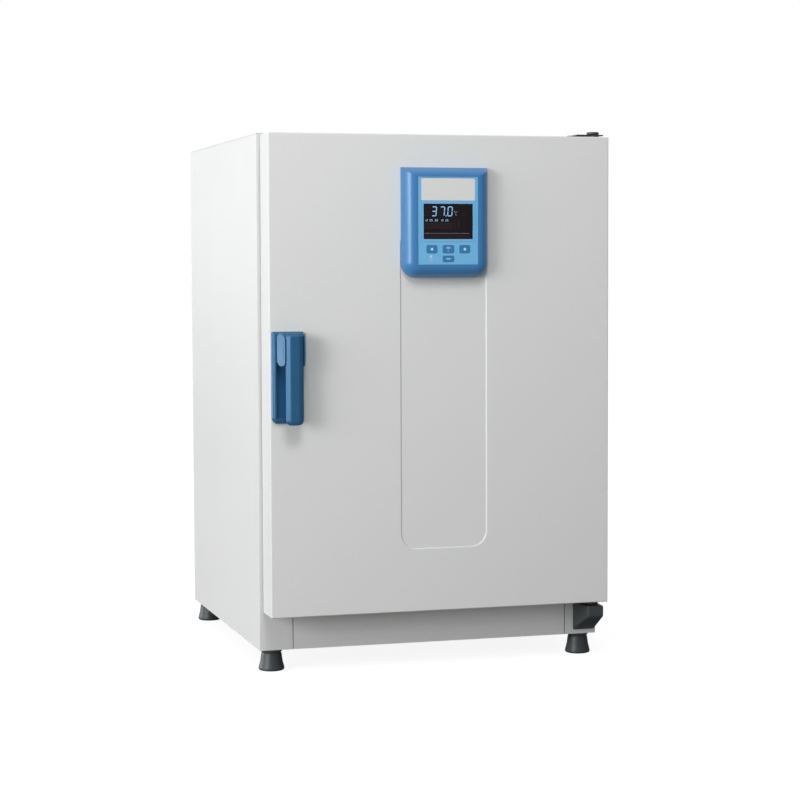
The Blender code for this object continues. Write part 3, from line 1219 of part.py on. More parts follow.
def make_control_unit():
    """Pillow-shaped housing with a flush membrane, a label field, a display and four keys."""
    sections = []
    steps = 5
    for i in range(steps + 1):
        t = i / steps
        rise = math.sin(t * math.pi / 2)
        creep = 1 - math.cos(t * math.pi / 2)
        y = UNIT_BACK - UNIT_WALL + (UNIT_FRONT - UNIT_BACK + UNIT_WALL) * rise
        corner = UNIT_CORNER - (UNIT_CORNER - KEY_CORNER * 2) * creep
        sections.append(unit_section(y, UNIT_SIDE_SLOPE * creep, UNIT_TOP_SLOPE * t,
                                     UNIT_BOTTOM_SLOPE * creep, corner))
    sections.insert(0, unit_section(UNIT_BACK, 0, 0, 0, UNIT_CORNER))
    housing = lofted("control_housing", sections, BLUE_PLASTIC)
    m = CAVITY_MARGIN
    x_in = (FACE_X - MEMBRANE_W / 2 - m, FACE_X + MEMBRANE_W / 2 + m)
    cavity_front = UNIT_FRONT + MEMBRANE_T + GAP + UNIT_WALL
    z_in = (UNIT_Z0 + UNIT_BOTTOM_SLOPE, MEMBRANE_Z1 - m)
    cut(housing, box("unit_cavity", x_in, (cavity_front, UNIT_BACK + CUT), z_in))
    membrane_x = (FACE_X - MEMBRANE_W / 2, FACE_X + MEMBRANE_W / 2)
    membrane_back = UNIT_FRONT + MEMBRANE_T
    cut(housing, box("membrane_seat", (membrane_x[0] - GAP, membrane_x[1] + GAP),
                     (UNIT_FRONT - CUT, membrane_back + GAP), (MEMBRANE_Z0 - GAP, MEMBRANE_Z1 + GAP)))
    membrane = box("control_membrane", membrane_x, (UNIT_FRONT, membrane_back), (MEMBRANE_Z0, MEMBRANE_Z1),
                   LIGHT_BLUE)

    label_z1 = MEMBRANE_Z1 - LABEL_DROP
    label_x = (FACE_X - LABEL_W / 2, FACE_X + LABEL_W / 2)
    radii = (LABEL_CORNER,) * 4
    label = outline_solid("label_plate", [rounded_outline(*label_x, label_z1 - LABEL_H, label_z1, radii, 4)],
                          MEMBRANE_T, facing_front((UNIT_FRONT + membrane_back) / 2), LABEL_WHITE)
    wide = (LABEL_CORNER + GAP,) * 4
    cut(membrane, outline_solid("label_opening", [rounded_outline(
        label_x[0] - GAP, label_x[1] + GAP, label_z1 - LABEL_H - GAP, label_z1 + GAP, wide, 4)],
        CUT, facing_front(UNIT_FRONT), None))

    screen_z1 = MEMBRANE_Z1 - SCREEN_DROP
    screen_x = (FACE_X - SCREEN_W / 2, FACE_X + SCREEN_W / 2)
    screen_z = (screen_z1 - SCREEN_H, screen_z1)
    window = box("display_window", screen_x, (UNIT_FRONT, UNIT_FRONT + SCREEN_T), screen_z, BLACK_GLASS)
    open_screen = ((screen_x[0] - GAP, screen_x[1] + GAP), (UNIT_FRONT - CUT, cavity_front + CUT / 2),
                   (screen_z[0] - GAP, screen_z[1] + GAP))
    cut(membrane, box("membrane_screen_hole", *open_screen))
    cut(housing, box("housing_screen_hole", *open_screen))

    keys = []
    row = MEMBRANE_Z1 - KEY_ROW_DROP - KEY_H / 2
    low = MEMBRANE_Z1 - BACK_KEY_DROP - BACK_KEY_H / 2
    places = {"left_key": (-KEY_PITCH, row, KEY_W, KEY_H), "menu_key": (0, row, BACK_KEY_W, KEY_H),
              "right_key": (KEY_PITCH, row, KEY_W, KEY_H), "back_key": (0, low, BACK_KEY_W, BACK_KEY_H)}
    key_front = UNIT_FRONT - KEY_PROUD
    for name, (shift, z, width, height) in places.items():
        x = FACE_X + shift
        limits = (x - width / 2, x + width / 2, z - height / 2, z + height / 2)
        c = KEY_CORNER
        key = outline_solid(name, [rounded_outline(*limits, (c, c, c, c), 3)], KEY_L,
                            facing_front(key_front + KEY_L / 2), KEY_BLUE)
        wide = rounded_outline(limits[0] - GAP, limits[1] + GAP, limits[2] - GAP, limits[3] + GAP,
                               (c + GAP,) * 4, 3)
        for owner in (membrane, housing):
            cut(owner, outline_solid(name + "_hole_" + owner.name, [wide], 2 * CUT,
                                     facing_front(UNIT_FRONT), None))
        keys.append(holder(name + "_axis", (x, key_front, z), [key]))

    board_y = max(key_front + KEY_L + KEY_TRAVEL + GAP, UNIT_FRONT + SCREEN_T + GAP)
    board = box("control_board", (x_in[0] + GAP, x_in[1] - GAP), (board_y, board_y + CONTROL_BOARD_T),
                (z_in[0] + GAP, z_in[1] - GAP), BOARD_GREEN)
    module_front = UNIT_FRONT + SCREEN_T + GAP
    join(board, box("display_module", (screen_x[0], screen_x[1]),
                    (module_front, board_y + CONTROL_BOARD_T / 2), screen_z))
    return [housing, membrane, label, window, board] + keys


def main():
    make_case()
    make_feet()
    make_chamber()
    make_racks()
    make_air_system()
    make_port()
    make_electrics()
    make_glass_door()
    for name, ledge in (("lower_shelf", LOWER_SHELF_LEDGE), ("upper_shelf", UPPER_SHELF_LEDGE)):
        shelf = make_shelf(name, ledge)
        holder(name + "_axis", tuple(shelf.location), [shelf])
    door_pieces = make_door() + make_hinges() + make_handle() + make_control_unit()
    holder("outer_door_axis", (HINGE_X, HINGE_Y, DOOR_Z0), door_pieces)


main()
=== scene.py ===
"""Looks for the microbiological incubator: painted case, moulded handle and control unit, steel chamber."""
import math

import bmesh
import bpy
from mathutils import Matrix, Vector


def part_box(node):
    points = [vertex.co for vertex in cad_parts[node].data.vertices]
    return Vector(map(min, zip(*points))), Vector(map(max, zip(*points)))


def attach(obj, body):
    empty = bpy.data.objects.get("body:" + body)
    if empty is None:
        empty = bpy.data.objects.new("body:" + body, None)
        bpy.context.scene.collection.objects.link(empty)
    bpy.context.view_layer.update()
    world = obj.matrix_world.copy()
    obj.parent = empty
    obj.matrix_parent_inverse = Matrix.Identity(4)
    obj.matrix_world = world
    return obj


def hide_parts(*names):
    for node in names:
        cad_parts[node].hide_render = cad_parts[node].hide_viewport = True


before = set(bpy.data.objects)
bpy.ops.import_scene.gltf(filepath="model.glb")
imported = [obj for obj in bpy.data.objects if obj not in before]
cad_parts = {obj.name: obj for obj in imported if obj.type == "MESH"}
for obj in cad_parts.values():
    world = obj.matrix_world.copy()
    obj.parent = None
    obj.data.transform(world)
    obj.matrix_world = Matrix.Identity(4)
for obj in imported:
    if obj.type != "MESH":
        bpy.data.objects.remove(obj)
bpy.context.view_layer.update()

SCENE = bpy.context.scene
MM = 0.001

# Camera solved from the photograph's straight edges
EYE = (-1.122400, -3.918141, 0.719455)
YAW = 0.2830985693
PITCH = 0.0620679869
ROLL = -0.0040609769
FOCAL_PX = 2112.34
FRAME_PX = 800
SENSOR_MM = 36

# Clearance round a piece that is let into another
SEAM = 0.3 * MM

# Outer door
DOOR_EDGE = 2.2 * MM
DOOR_SHEET = 1.2 * MM
FIELD_DEPTH = 1.5 * MM
FIELD_SLOPE = 2.2 * MM
FIELD_CORNER = 28 * MM
FIELD_UP = 113 * MM
FIELD_WIDER = 0.25 * MM
FIELD_TOP_DROP = 127.8 * MM
HOOK_ROOM = 3 * MM
HOOK_DROP = 26 * MM
DOOR_SEAL_W = 12 * MM
GLASS_SEAL_W = 8 * MM

# Control unit
UNIT_SIDE = 22 * MM
UNIT_TOP = 15.3 * MM
UNIT_BOTTOM = 21 * MM
UNIT_CORNER = 26 * MM
UNIT_FRONT_CORNER = 6 * MM
UNIT_RIM = 3 * MM
SEAT_CORNER = 0.6 * MM
PRINT_T = 0.08 * MM
KEY_ROOM = 2 * MM
KEY_CORNER = 2.5 * MM
KEY_EDGE = 0.45 * MM
KEY_DISH = 0.15 * MM

# Handle
PLATE_T = 9 * MM
BORDER_W = 8 * MM
FLOOR_T = 3 * MM
RECESS_FILLET = 3 * MM
ROLL_W = 7 * MM
ROLL_DEPTH = 8.5 * MM
LOWER_CORNER = 11 * MM
UPPER_CORNER = 3 * MM
EAR_H = 59.5 * MM
EAR_SHOULDER = 8.5 * MM
EAR_TIP_T = 1.2 * MM
EAR_EDGE = 1.4 * MM
EAR_TOP_RUN = 27 * MM
EAR_TOP_DROP = 13.5 * MM
EAR_FOOT_RUN = 8 * MM
EAR_FOOT_RISE = 7 * MM
EAR_ROOT_RUN = 9 * MM
EAR_ROOT_DROP = 6 * MM
PAD_RISE = 0.35 * MM
GRIP_T = 10.5 * MM
FLANK_W = 8.5 * MM
FLANK_DEPTH = 5.3 * MM
GRIP_DRAFT = 1.6 * MM
GRIP_SLOPE_H = 5.5 * MM
GRIP_SLOPE_DEPTH = 7.5 * MM
GRIP_FOOT_R = 9 * MM
GRIP_SOFT = 2.2 * MM
GRIP_SIDE = 0.4 * MM
HUB_HALF = 14 * MM

# Levelling feet
FOOT_TOP = 38.7 * MM
COLLAR_R = 18.8 * MM
NECK_R = 17.0 * MM
STUD_R = 5.0 * MM
STUD_ROOT_R = 4.3 * MM
STUD_PITCH = 1.5 * MM

# Access port plug, mains inlet, rear panel, fan and the leaves of the glass door's hinges
SHANK_R = 20.5 * MM
SOCKET_W = 24.2 * MM
SOCKET_H = 16.5 * MM
SOCKET_DEPTH = 16 * MM
REAR_SCREW_X = 120 * MM
LOUVRE_X = (-170 * MM, 20 * MM)
LOUVRE_PITCH = 9 * MM
LOUVRE_L = 90 * MM
LOUVRE_RISE = 2.6 * MM
FAN_SHEET = 1.6 * MM
FAN_BLADES = 12
LEAF_T = 3.3 * MM


def linear(hex_value):
    """sRGB hex to the linear colour that a shader takes."""
    channels = [int(hex_value[i:i + 2], 16) / 255 for i in (0, 2, 4)]
    return (*[c / 12.92 if c <= 0.04045 else ((c + 0.055) / 1.055) ** 2.4 for c in channels], 1.0)


def add(tree, kind, inputs=None, **settings):
    """Add a node, set its properties, then fill its inputs.

    An input takes a value, another node's output, or a node, which stands for its first output.
    """
    node = tree.nodes.new(kind)
    for key, value in settings.items():
        setattr(node, key, value)
    for key, value in (inputs or {}).items():
        if isinstance(value, bpy.types.Node):
            value = value.outputs[0]
        if isinstance(value, bpy.types.NodeSocket):
            tree.links.new(value, node.inputs[key])
        else:
            node.inputs[key].default_value = value
    return node


def finish(name, light, dark, rough, grain_mm, relief_mm=0.0, stretch=(1, 1, 1), patch_mm=90, **sockets):
    """A real finish: a grain of a size in millimetres, and broad patches of gloss from handling.

    light and dark are the two hex colours that the grain runs between, rough the two roughnesses.
    """
    mat = bpy.data.materials.new(name)
    mat.use_nodes = True
    tree = mat.node_tree
    shader = tree.nodes["Principled BSDF"]
    for key, value in sockets.items():
        shader.inputs[key.replace("_", " ")].default_value = value
    coords = add(tree, "ShaderNodeTexCoord").outputs["Object"]
    drawn = add(tree, "ShaderNodeMapping", {"Vector": coords, "Scale": stretch})
    grain = add(tree, "ShaderNodeTexNoise", {"Vector": drawn, "Scale": 1 / (grain_mm * MM), "Detail": 3.0,
                                             "Roughness": 0.55})
    patches = add(tree, "ShaderNodeTexNoise", {"Vector": coords, "Scale": 1 / (patch_mm * MM),
                                               "Detail": 2.0})
    shade = add(tree, "ShaderNodeMix", {0: grain, 6: linear(dark), 7: linear(light)}, data_type="RGBA")
    both = add(tree, "ShaderNodeMath", {0: grain, 1: patches}, operation="ADD")
    gloss = add(tree, "ShaderNodeMapRange", {0: both, 1: 0.6, 2: 1.4, 3: rough[0], 4: rough[1]})
    tree.links.new(shade.outputs[2], shader.inputs["Base Color"])
    tree.links.new(gloss.outputs[0], shader.inputs["Roughness"])
    if relief_mm:
        bump = add(tree, "ShaderNodeBump", {"Height": grain, "Strength": 1.0, "Distance": relief_mm * MM})
        tree.links.new(bump.outputs[0], shader.inputs["Normal"])
    return mat


# Epoxy-polyester powder coat on steel: a faint orange peel, drawn at 4 mm because 1.5 mm wouldn't show
POWDER_COAT = finish("powder_coat", "E9EAE9", "E3E4E3", (0.36, 0.48), 4, 0.03, Specular_IOR_Level=0.2)
# Stainless sheet, ground with 240 grit along its width: long fine streaks that stretch the highlights
GROUND_STAINLESS = finish("ground_stainless", "CDD0D2", "BFC2C4", (0.26, 0.36), 0.9, 0.002,
                          (0.02, 1, 1), 160, Metallic=1.0)
# The same sheet ground up and down, for walls and racks
UPRIGHT_STAINLESS = finish("upright_ground_stainless", "CACDCF", "BCBFC1", (0.27, 0.38), 0.9, 0.002,
                           (1, 1, 0.02), 160, Metallic=1.0)
# Bright zinc plating on turned and bent steel: cloudy patches and a soft shine
ZINC = finish("zinc_plated_steel", "BFC2C4", "9A9EA2", (0.24, 0.42), 3, 0.004, Metallic=1.0)
# Sintered bronze bushes: fine pores, oily and brown
SINTERED_BRONZE = finish("sintered_bronze", "8A6A50", "5C4433", (0.35, 0.55), 0.8, 0.03, Metallic=1.0)
# Brass contact pins, nickel washed
BRASS = finish("brass_pins", "D9C07A", "B89A52", (0.2, 0.35), 1.5, 0.003, Metallic=1.0)
# ABS housing, moulded against a spark-eroded tool: an even fine grit that softens the highlight
ABS_BLUE = finish("moulded_abs_blue", "4384BD", "3F7FB8", (0.26, 0.34), 1.1, 0.012, IOR=1.53)
# Glass-filled nylon handle, the darker blue, with the same fine grit, worn smoother where it is held
NYLON_BLUE = finish("moulded_nylon_blue", "2E6288", "2B5D82", (0.26, 0.36), 1.1, 0.014, patch_mm=45,
                    IOR=1.53, Specular_IOR_Level=0.8, Specular_Tint=linear("A7CFFF"))
# Printed polyester film over the keys: satin, almost flat
FILM_BLUE = finish("polyester_film_blue", "7BC1EF", "77BDEC", (0.30, 0.38), 2.5, 0.004)
# The line that is printed round the display, a shade darker than its film
FILM_LINE = finish("polyester_film_line", "5298CB", "4E93C6", (0.30, 0.38), 2.5, 0.004)
# Silicone keycaps with a printed face
KEY_BLUE = finish("key_silicone_blue", "3685BC", "327FB5", (0.38, 0.48), 1.4, 0.008)
# White ink on the keys
WHITE_INK = finish("white_ink", "E8F0F6", "DDE8F0", (0.40, 0.50), 1.0, 0.002)
# Pale ink of the symbol on the film
PALE_INK = finish("pale_ink", "A5D2EF", "9CCBEA", (0.35, 0.45), 1.0, 0.002)
# Bare label film
LABEL_FILM = finish("label_film", "E7E9E7", "E1E3E1", (0.30, 0.38), 2.5, 0.003)
# Smoked polycarbonate window in front of the display, with a matt hard coat that reflects little
SMOKED_WINDOW = finish("smoked_window", "1A141B", "161117", (0.20, 0.28), 3, 0.001, IOR=1.58,
                       Specular_IOR_Level=0.3)
# Unlit cells of the display, faintly maroon through the window
DIM_CELLS = finish("dim_display_cells", "2A1419", "241116", (0.25, 0.35), 1.0, 0.001)
# The thin line along the display's foot, printed in a dull lilac grey
RULE_LINE = finish("display_rule_line", "8A86A0", "7F7B96", (0.3, 0.4), 1.0, 0.001)
# Silicone extrusion, off-white and slightly translucent-looking
SILICONE = finish("silicone_rubber", "D3D5D0", "C6C9C3", (0.45, 0.6), 1.6, 0.01)
# EPDM seal: dusty black rubber
SEAL_RUBBER = finish("epdm_rubber", "2B2C2D", "1F2021", (0.55, 0.75), 1.2, 0.02)
# Glass-filled nylon in charcoal, a grey-green black with a fine grit
NYLON_CHARCOAL = finish("moulded_nylon_charcoal", "434A4D", "383E41", (0.38, 0.5), 1.2, 0.018)
# Zinc casting under dark stoving enamel
DARK_ENAMEL = finish("dark_enamel", "4A4643", "3B3836", (0.32, 0.42), 2, 0.01)
# Mineral wool slab: tangled fibres, 8 mm tufts
MINERAL_WOOL = finish("mineral_wool", "C9B98A", "9C8A5A", (0.9, 1.0), 8, 1.2, (1, 0.35, 1))
# Glass-epoxy board under green solder mask
SOLDER_MASK = finish("solder_mask_green", "24684A", "1B5239", (0.28, 0.42), 1.5, 0.01)
# Pressure die-cast motor case: a rough grey skin
CAST_ALUMINIUM = finish("cast_aluminium", "8A8E91", "6F7377", (0.42, 0.6), 1.6, 0.05, Metallic=1.0)
# Toughened float glass: clear, with a green body colour that only its edges show
FLOAT_GLASS = finish("float_glass", "F2FAF6", "EFF8F4", (0.0, 0.02), 60, 0.0, Transmission_Weight=1.0,
                     IOR=1.52)


def lit_cells():
    """Vacuum fluorescent digits: pale blue light of its own, a little uneven from cell to cell."""
    mat = bpy.data.materials.new("lit_display_cells")
    mat.use_nodes = True
    tree = mat.node_tree
    shader = tree.nodes["Principled BSDF"]
    coords = add(tree, "ShaderNodeTexCoord")
    cells = add(tree, "ShaderNodeTexNoise", {"Vector": coords.outputs["Object"], "Scale": 1 / (2 * MM)})
    glow = add(tree, "ShaderNodeMix", {0: cells, 6: linear("6FB4E6"), 7: linear("A6DAF8")},
               data_type="RGBA")
    shader.inputs["Base Color"].default_value = linear("1A2A38")
    shader.inputs["Emission Strength"].default_value = 0.9
    tree.links.new(glow.outputs[2], shader.inputs["Emission Color"])
    return mat


LIT_CELLS = lit_cells()


def make(name, bm, material, angle=35):
    """Close a bmesh into a shaded object that sits at the origin."""
    bmesh.ops.remove_doubles(bm, verts=bm.verts, dist=0.001 * MM)
    bmesh.ops.recalc_face_normals(bm, faces=bm.faces)
    mesh = bpy.data.meshes.new(name)
    bm.to_mesh(mesh)
    bm.free()
    mesh.materials.append(material)
    mesh.shade_smooth()
    mesh.set_sharp_from_angle(angle=math.radians(angle))
    obj = bpy.data.objects.new(name, mesh)
    SCENE.collection.objects.link(obj)
    return obj


def fit(obj, body, slot, *nodes):
    """Let a piece ride on its body and stand for the CAD nodes that it replaces. The slot is not used."""
    even = obj.modifiers.new("even_shading", "WEIGHTED_NORMAL")
    even.keep_sharp = True
    even.weight = 100
    settle(obj)
    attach(obj, body)
    if nodes:
        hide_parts(*nodes)
    return obj


def rounded(u0, u1, v0, v1, radii, steps=8):
    """A rectangle's outline with a radius at lower left, lower right, upper right and upper left."""
    points = []
    corners = ((u0, v0, 1, 1, 180), (u1, v0, -1, 1, 270), (u1, v1, -1, -1, 0), (u0, v1, 1, -1, 90))
    for (u, v, du, dv, start), radius in zip(corners, radii):
        for i in range(steps + 1):
            angle = math.radians(start + 90 * i / steps)
            points.append((u + du * radius + radius * math.cos(angle),
                           v + dv * radius + radius * math.sin(angle)))
    return points


def framed(lo, hi, inset, radii, steps=8):
    """The rounded outline of a box's front, drawn in by an inset."""
    return rounded(lo[0] + inset, hi[0] - inset, lo[2] + inset, hi[2] - inset, radii, steps)


def at(outline, y):
    """Put an XZ outline at one depth."""
    return [(u, y, v) for u, v in outline]


def quarter(step, start=0):
    """Sine and one minus cosine, from the start angle to 90 degrees."""
    for angle in range(start, 91, step):
        yield math.sin(math.radians(angle)), 1 - math.cos(math.radians(angle))


def middle(name):
    """Middle of a node's box."""
    return [(a + b) / 2 for a, b in zip(*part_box(name))]


def loft(bm, sections, first=True, last=True):
    """Skin a run of closed outlines that have the same number of points, and cap its ends."""
    rings = [[bm.verts.new(point) for point in section] for section in sections]
    count = len(rings[0])
    for near, far in zip(rings, rings[1:]):
        for i in range(count):
            j = (i + 1) % count
            bm.faces.new((near[i], near[j], far[j], far[i]))
    if first:
        bm.faces.new(rings[0])
    if last:
        bm.faces.new(rings[-1])
    return rings


def block(bm, lo, hi, edge=0.0, steps=3):
    """Add a box between two corners, with rounded edges."""
    one = bmesh.new()
    bmesh.ops.create_cube(one, size=1.0)
    bmesh.ops.scale(one, vec=Vector(hi) - Vector(lo), verts=one.verts)
    bmesh.ops.translate(one, vec=(Vector(lo) + Vector(hi)) / 2, verts=one.verts)
    if edge:
        bmesh.ops.bevel(one, geom=one.edges[:], offset=edge, segments=steps, profile=0.5, affect="EDGES")
    spare = bpy.data.meshes.new("spare")
    one.to_mesh(spare)
    one.free()
    bm.from_mesh(spare)
    bpy.data.meshes.remove(spare)


def turn(bm, profile, foot, axis, sides=48):
    """Add a turned solid: profile is (radius, distance along the axis from its foot)."""
    along = Vector(axis).normalized()
    across = along.orthogonal().normalized()
    beside = along.cross(across)
    sections = []
    for radius, height in profile:
        centre = Vector(foot) + along * height
        sections.append([centre + across * (radius * math.cos(math.tau * i / sides))
                         + beside * (radius * math.sin(math.tau * i / sides)) for i in range(sides)])
    loft(bm, sections)


def plate(bm, outline, y0, y1):
    """Add a flat plate: an XZ outline with its faces at y0 and y1."""
    loft(bm, [at(outline, y0), at(outline, y1)])


def frame_round(bm, profile, lo, hi):
    """Run a closed profile, given as (outward, y), round a rectangle with mitred corners."""
    rings = []
    for outward, y in profile:
        rings.append([bm.verts.new((lo[0] - outward, y, lo[2] - outward)),
                      bm.verts.new((hi[0] + outward, y, lo[2] - outward)),
                      bm.verts.new((hi[0] + outward, y, hi[2] + outward)),
                      bm.verts.new((lo[0] - outward, y, hi[2] + outward))])
    for near, far in zip(rings, rings[1:] + rings[:1]):
        for i in range(4):
            j = (i + 1) % 4
            bm.faces.new((near[i], near[j], far[j], far[i]))


def settle(obj):
    """Replace an object's mesh by what its modifiers make of it."""
    result = bpy.data.meshes.new_from_object(obj.evaluated_get(bpy.context.evaluated_depsgraph_get()))
    result.name = obj.name
    obj.modifiers.clear()
    obj.data = result
    return obj


def hook_slot(front, back):
    """The room that the latch hook swings in, between two depths."""
    lo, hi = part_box("latch_hook")
    return ((lo[0] - HOOK_ROOM, front, lo[2] - HOOK_DROP), (hi[0] + HOOK_ROOM, back, hi[2] + HOOK_ROOM))


def carve(obj, *hollows):
    """Cut boxes, given by their two corners, out of a piece."""
    for lo, hi in hollows:
        bm = bmesh.new()
        block(bm, lo, hi)
        tool = make("hollow", bm, obj.data.materials[0])
        step = obj.modifiers.new("hollow", "BOOLEAN")
        step.operation = "DIFFERENCE"
        step.solver = "EXACT"
        step.object = tool
        settle(obj)
        bpy.data.objects.remove(tool)
    return obj


def make_door_skin():
    """Pressed and folded door front with its rolled edges and the shallow pressed field."""
    lo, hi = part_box("door_shell")
    unit_lo, unit_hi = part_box("control_housing")
    bm = bmesh.new()
    rolled = [(lo[1] + DOOR_EDGE * (1 - rise), DOOR_EDGE * creep) for rise, creep in quarter(15)]
    sections = []
    for y, inset in [(hi[1], 0.0)] + rolled:
        radius = max(DOOR_EDGE - inset, 0.05 * MM)
        sections.append(at(framed(lo, hi, inset, (radius,) * 4, 5), y))
    rim = loft(bm, sections, False, False)[-1]

    fields = []
    for grow, y in ((FIELD_SLOPE / 2, lo[1]), (-FIELD_SLOPE / 2, lo[1] + FIELD_DEPTH)):
        radius = FIELD_CORNER + grow
        outline = rounded(unit_lo[0] - FIELD_WIDER - grow, unit_hi[0] + FIELD_WIDER + grow,
                          lo[2] + FIELD_UP - grow, unit_hi[2] - FIELD_TOP_DROP + grow,
                          (radius, radius, 2 * FIELD_SLOPE, 2 * FIELD_SLOPE), 10)
        fields.append(at(outline, y))
    edge = loft(bm, fields, False, True)[0]
    loops = []
    for ring in (rim, edge):
        loops += [bm.edges.get((ring[i], ring[(i + 1) % len(ring)])) for i in range(len(ring))]
    bmesh.ops.triangle_fill(bm, use_beauty=True, edges=loops)
    skin = make("door_skin", bm, POWDER_COAT, 20)
    sheet = skin.modifiers.new("sheet", "SOLIDIFY")
    sheet.thickness = DOOR_SHEET
    sheet.offset = -1
    settle(skin)
    carve(skin, hook_slot(lo[1] - HOOK_ROOM, lo[1] + 3 * HOOK_ROOM))
    fit(skin, "outer_door", "white_paint", "door_shell")


# Section of each seal, run round its opening: millimetres outward, and the share of its depth
DOOR_SEAL_SHAPE = ((0, 0), (12, 0), (12, 0.16), (10.6, 0.26), (11.6, 0.42), (10.4, 0.56), (11.4, 0.72),
                   (10.8, 0.92), (9.8, 1), (2.2, 1), (1.2, 0.92), (0.6, 0.72), (1.6, 0.56), (0.4, 0.42),
                   (1.4, 0.26), (0, 0.16))
GLASS_SEAL_SHAPE = ((0, 1), (8, 1), (8, 0.6), (7, 0.45), (5.4, 0.1), (4, 0), (2.6, 0.1), (1, 0.45),
                    (0, 0.6))


def make_seal(name, node, width, shape, material, angle):
    """A seal's section run round its opening."""
    lo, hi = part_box(node)
    inner_lo = Vector(lo) + Vector((width, 0, width))
    inner_hi = Vector(hi) - Vector((width, 0, width))
    depth = hi[1] - lo[1]
    bm = bmesh.new()
    frame_round(bm, [(out * MM, lo[1] + depth * share) for out, share in shape], inner_lo, inner_hi)
    return make(name, bm, material, angle)


def make_seals():
    """The door's magnetic seal with its two soft folds, and the silicone lip that the glass closes on."""
    door = make_seal("door_seal", "door_gasket", DOOR_SEAL_W, DOOR_SEAL_SHAPE, SEAL_RUBBER, 50)
    fit(door, "outer_door", "seal_rubber", "door_gasket")
    glass = make_seal("glass_seal", "chamber_gasket", GLASS_SEAL_W, GLASS_SEAL_SHAPE, SILICONE, 60)
    fit(glass, "cabinet", "silicone", "chamber_gasket")


def unit_outline(lo, hi, side, top, bottom, corner):
    """Outline of the housing at one depth: round lower corners and sharp upper ones."""
    return rounded(lo[0] + side, hi[0] - side, lo[2] + bottom, hi[2] - top,
                   (corner, corner, SEAT_CORNER, SEAT_CORNER), 12)


def make_control_shell():
    """Pillow-shaped housing: full round sides and foot, a flat sloped top with mitred ends."""
    lo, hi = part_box("control_housing")
    film_lo, film_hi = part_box("control_membrane")
    sections = [(hi[1], unit_outline(lo, hi, 0, 0, 0, UNIT_CORNER))]
    start = hi[1] - UNIT_RIM
    steps = 16
    for i in range(steps + 1):
        t = i / steps
        rise = math.sin(t * math.pi / 2)
        creep = 1 - math.cos(t * math.pi / 2)
        corner = UNIT_CORNER - (UNIT_CORNER - UNIT_FRONT_CORNER) * creep
        outline = unit_outline(lo, hi, UNIT_SIDE * creep, UNIT_TOP * t, UNIT_BOTTOM * creep, corner)
        sections.append((start + (lo[1] - start) * rise, outline))
    seat = framed(film_lo, film_hi, -SEAM, (SEAT_CORNER,) * 4, 12)
    sections += [(lo[1], seat), (film_hi[1] + SEAM, seat)]
    bm = bmesh.new()
    loft(bm, [at(outline, y) for y, outline in sections])
    shell = make("control_shell", bm, ABS_BLUE, 38)
    hollows = []
    for name in ("display_window", "left_key", "menu_key", "right_key", "back_key"):
        a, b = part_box(name)
        hollows.append(((a[0] - SEAM, lo[1] - SEAM, a[2] - SEAM),
                        (b[0] + SEAM, b[1] + KEY_ROOM, b[2] + SEAM)))
    carve(shell, *hollows)
    fit(shell, "outer_door", "housing_blue", "control_housing")


# Which of the seven bars each digit lights. They run a to g: top, upper right, lower right, foot, lower
# left, upper left, middle
BARS = {"0": "abcdef", "1": "bc", "2": "abged", "3": "abgcd", "5": "afgcd", "7": "abc"}
# The large cells: where each starts, as a share of the window's width, and its digit
CELLS = ((0.03, ""), (0.165, "3"), (0.33, "7"), (0.487, "0"))
# The small rows: the share at which each starts, and its digits
ROWS = ((0.02, "12 05 30"), (0.34, "10 25"))
# Unlit patches: left, right, foot and top as shares of the window
PATCHES = ((0.01, 0.59, 0.28, 0.47), (0.62, 0.65, 0.28, 0.56), (0.70, 0.73, 0.28, 0.56),
           (0.02, 0.94, 0.03, 0.13))


def seven_bars(x, z, width, height, thick):
    """The seven bars of one cell, each as an XZ outline with pointed ends, leaning a little."""
    half = height / 2
    ends = {"a": ((0, height), (width, height)), "b": ((width, height), (width, half)),
            "c": ((width, half), (width, 0)), "d": ((0, 0), (width, 0)), "e": ((0, 0), (0, half)),
            "f": ((0, half), (0, height)), "g": ((0, half), (width, half))}
    bars = {}
    for key, (start, end) in ends.items():
        a = Vector(start)
        b = Vector(end)
        run = (b - a).normalized()
        side = Vector((-run.y, run.x)) * thick / 2
        a += run * thick * 0.6
        b -= run * thick * 0.6
        tip = run * thick / 2
        outline = [a - tip, a - side, b - side, b + tip, b + side, a + side]
        bars[key] = [(x + p.x + 0.08 * p.y, z + p.y) for p in outline]
    return bars


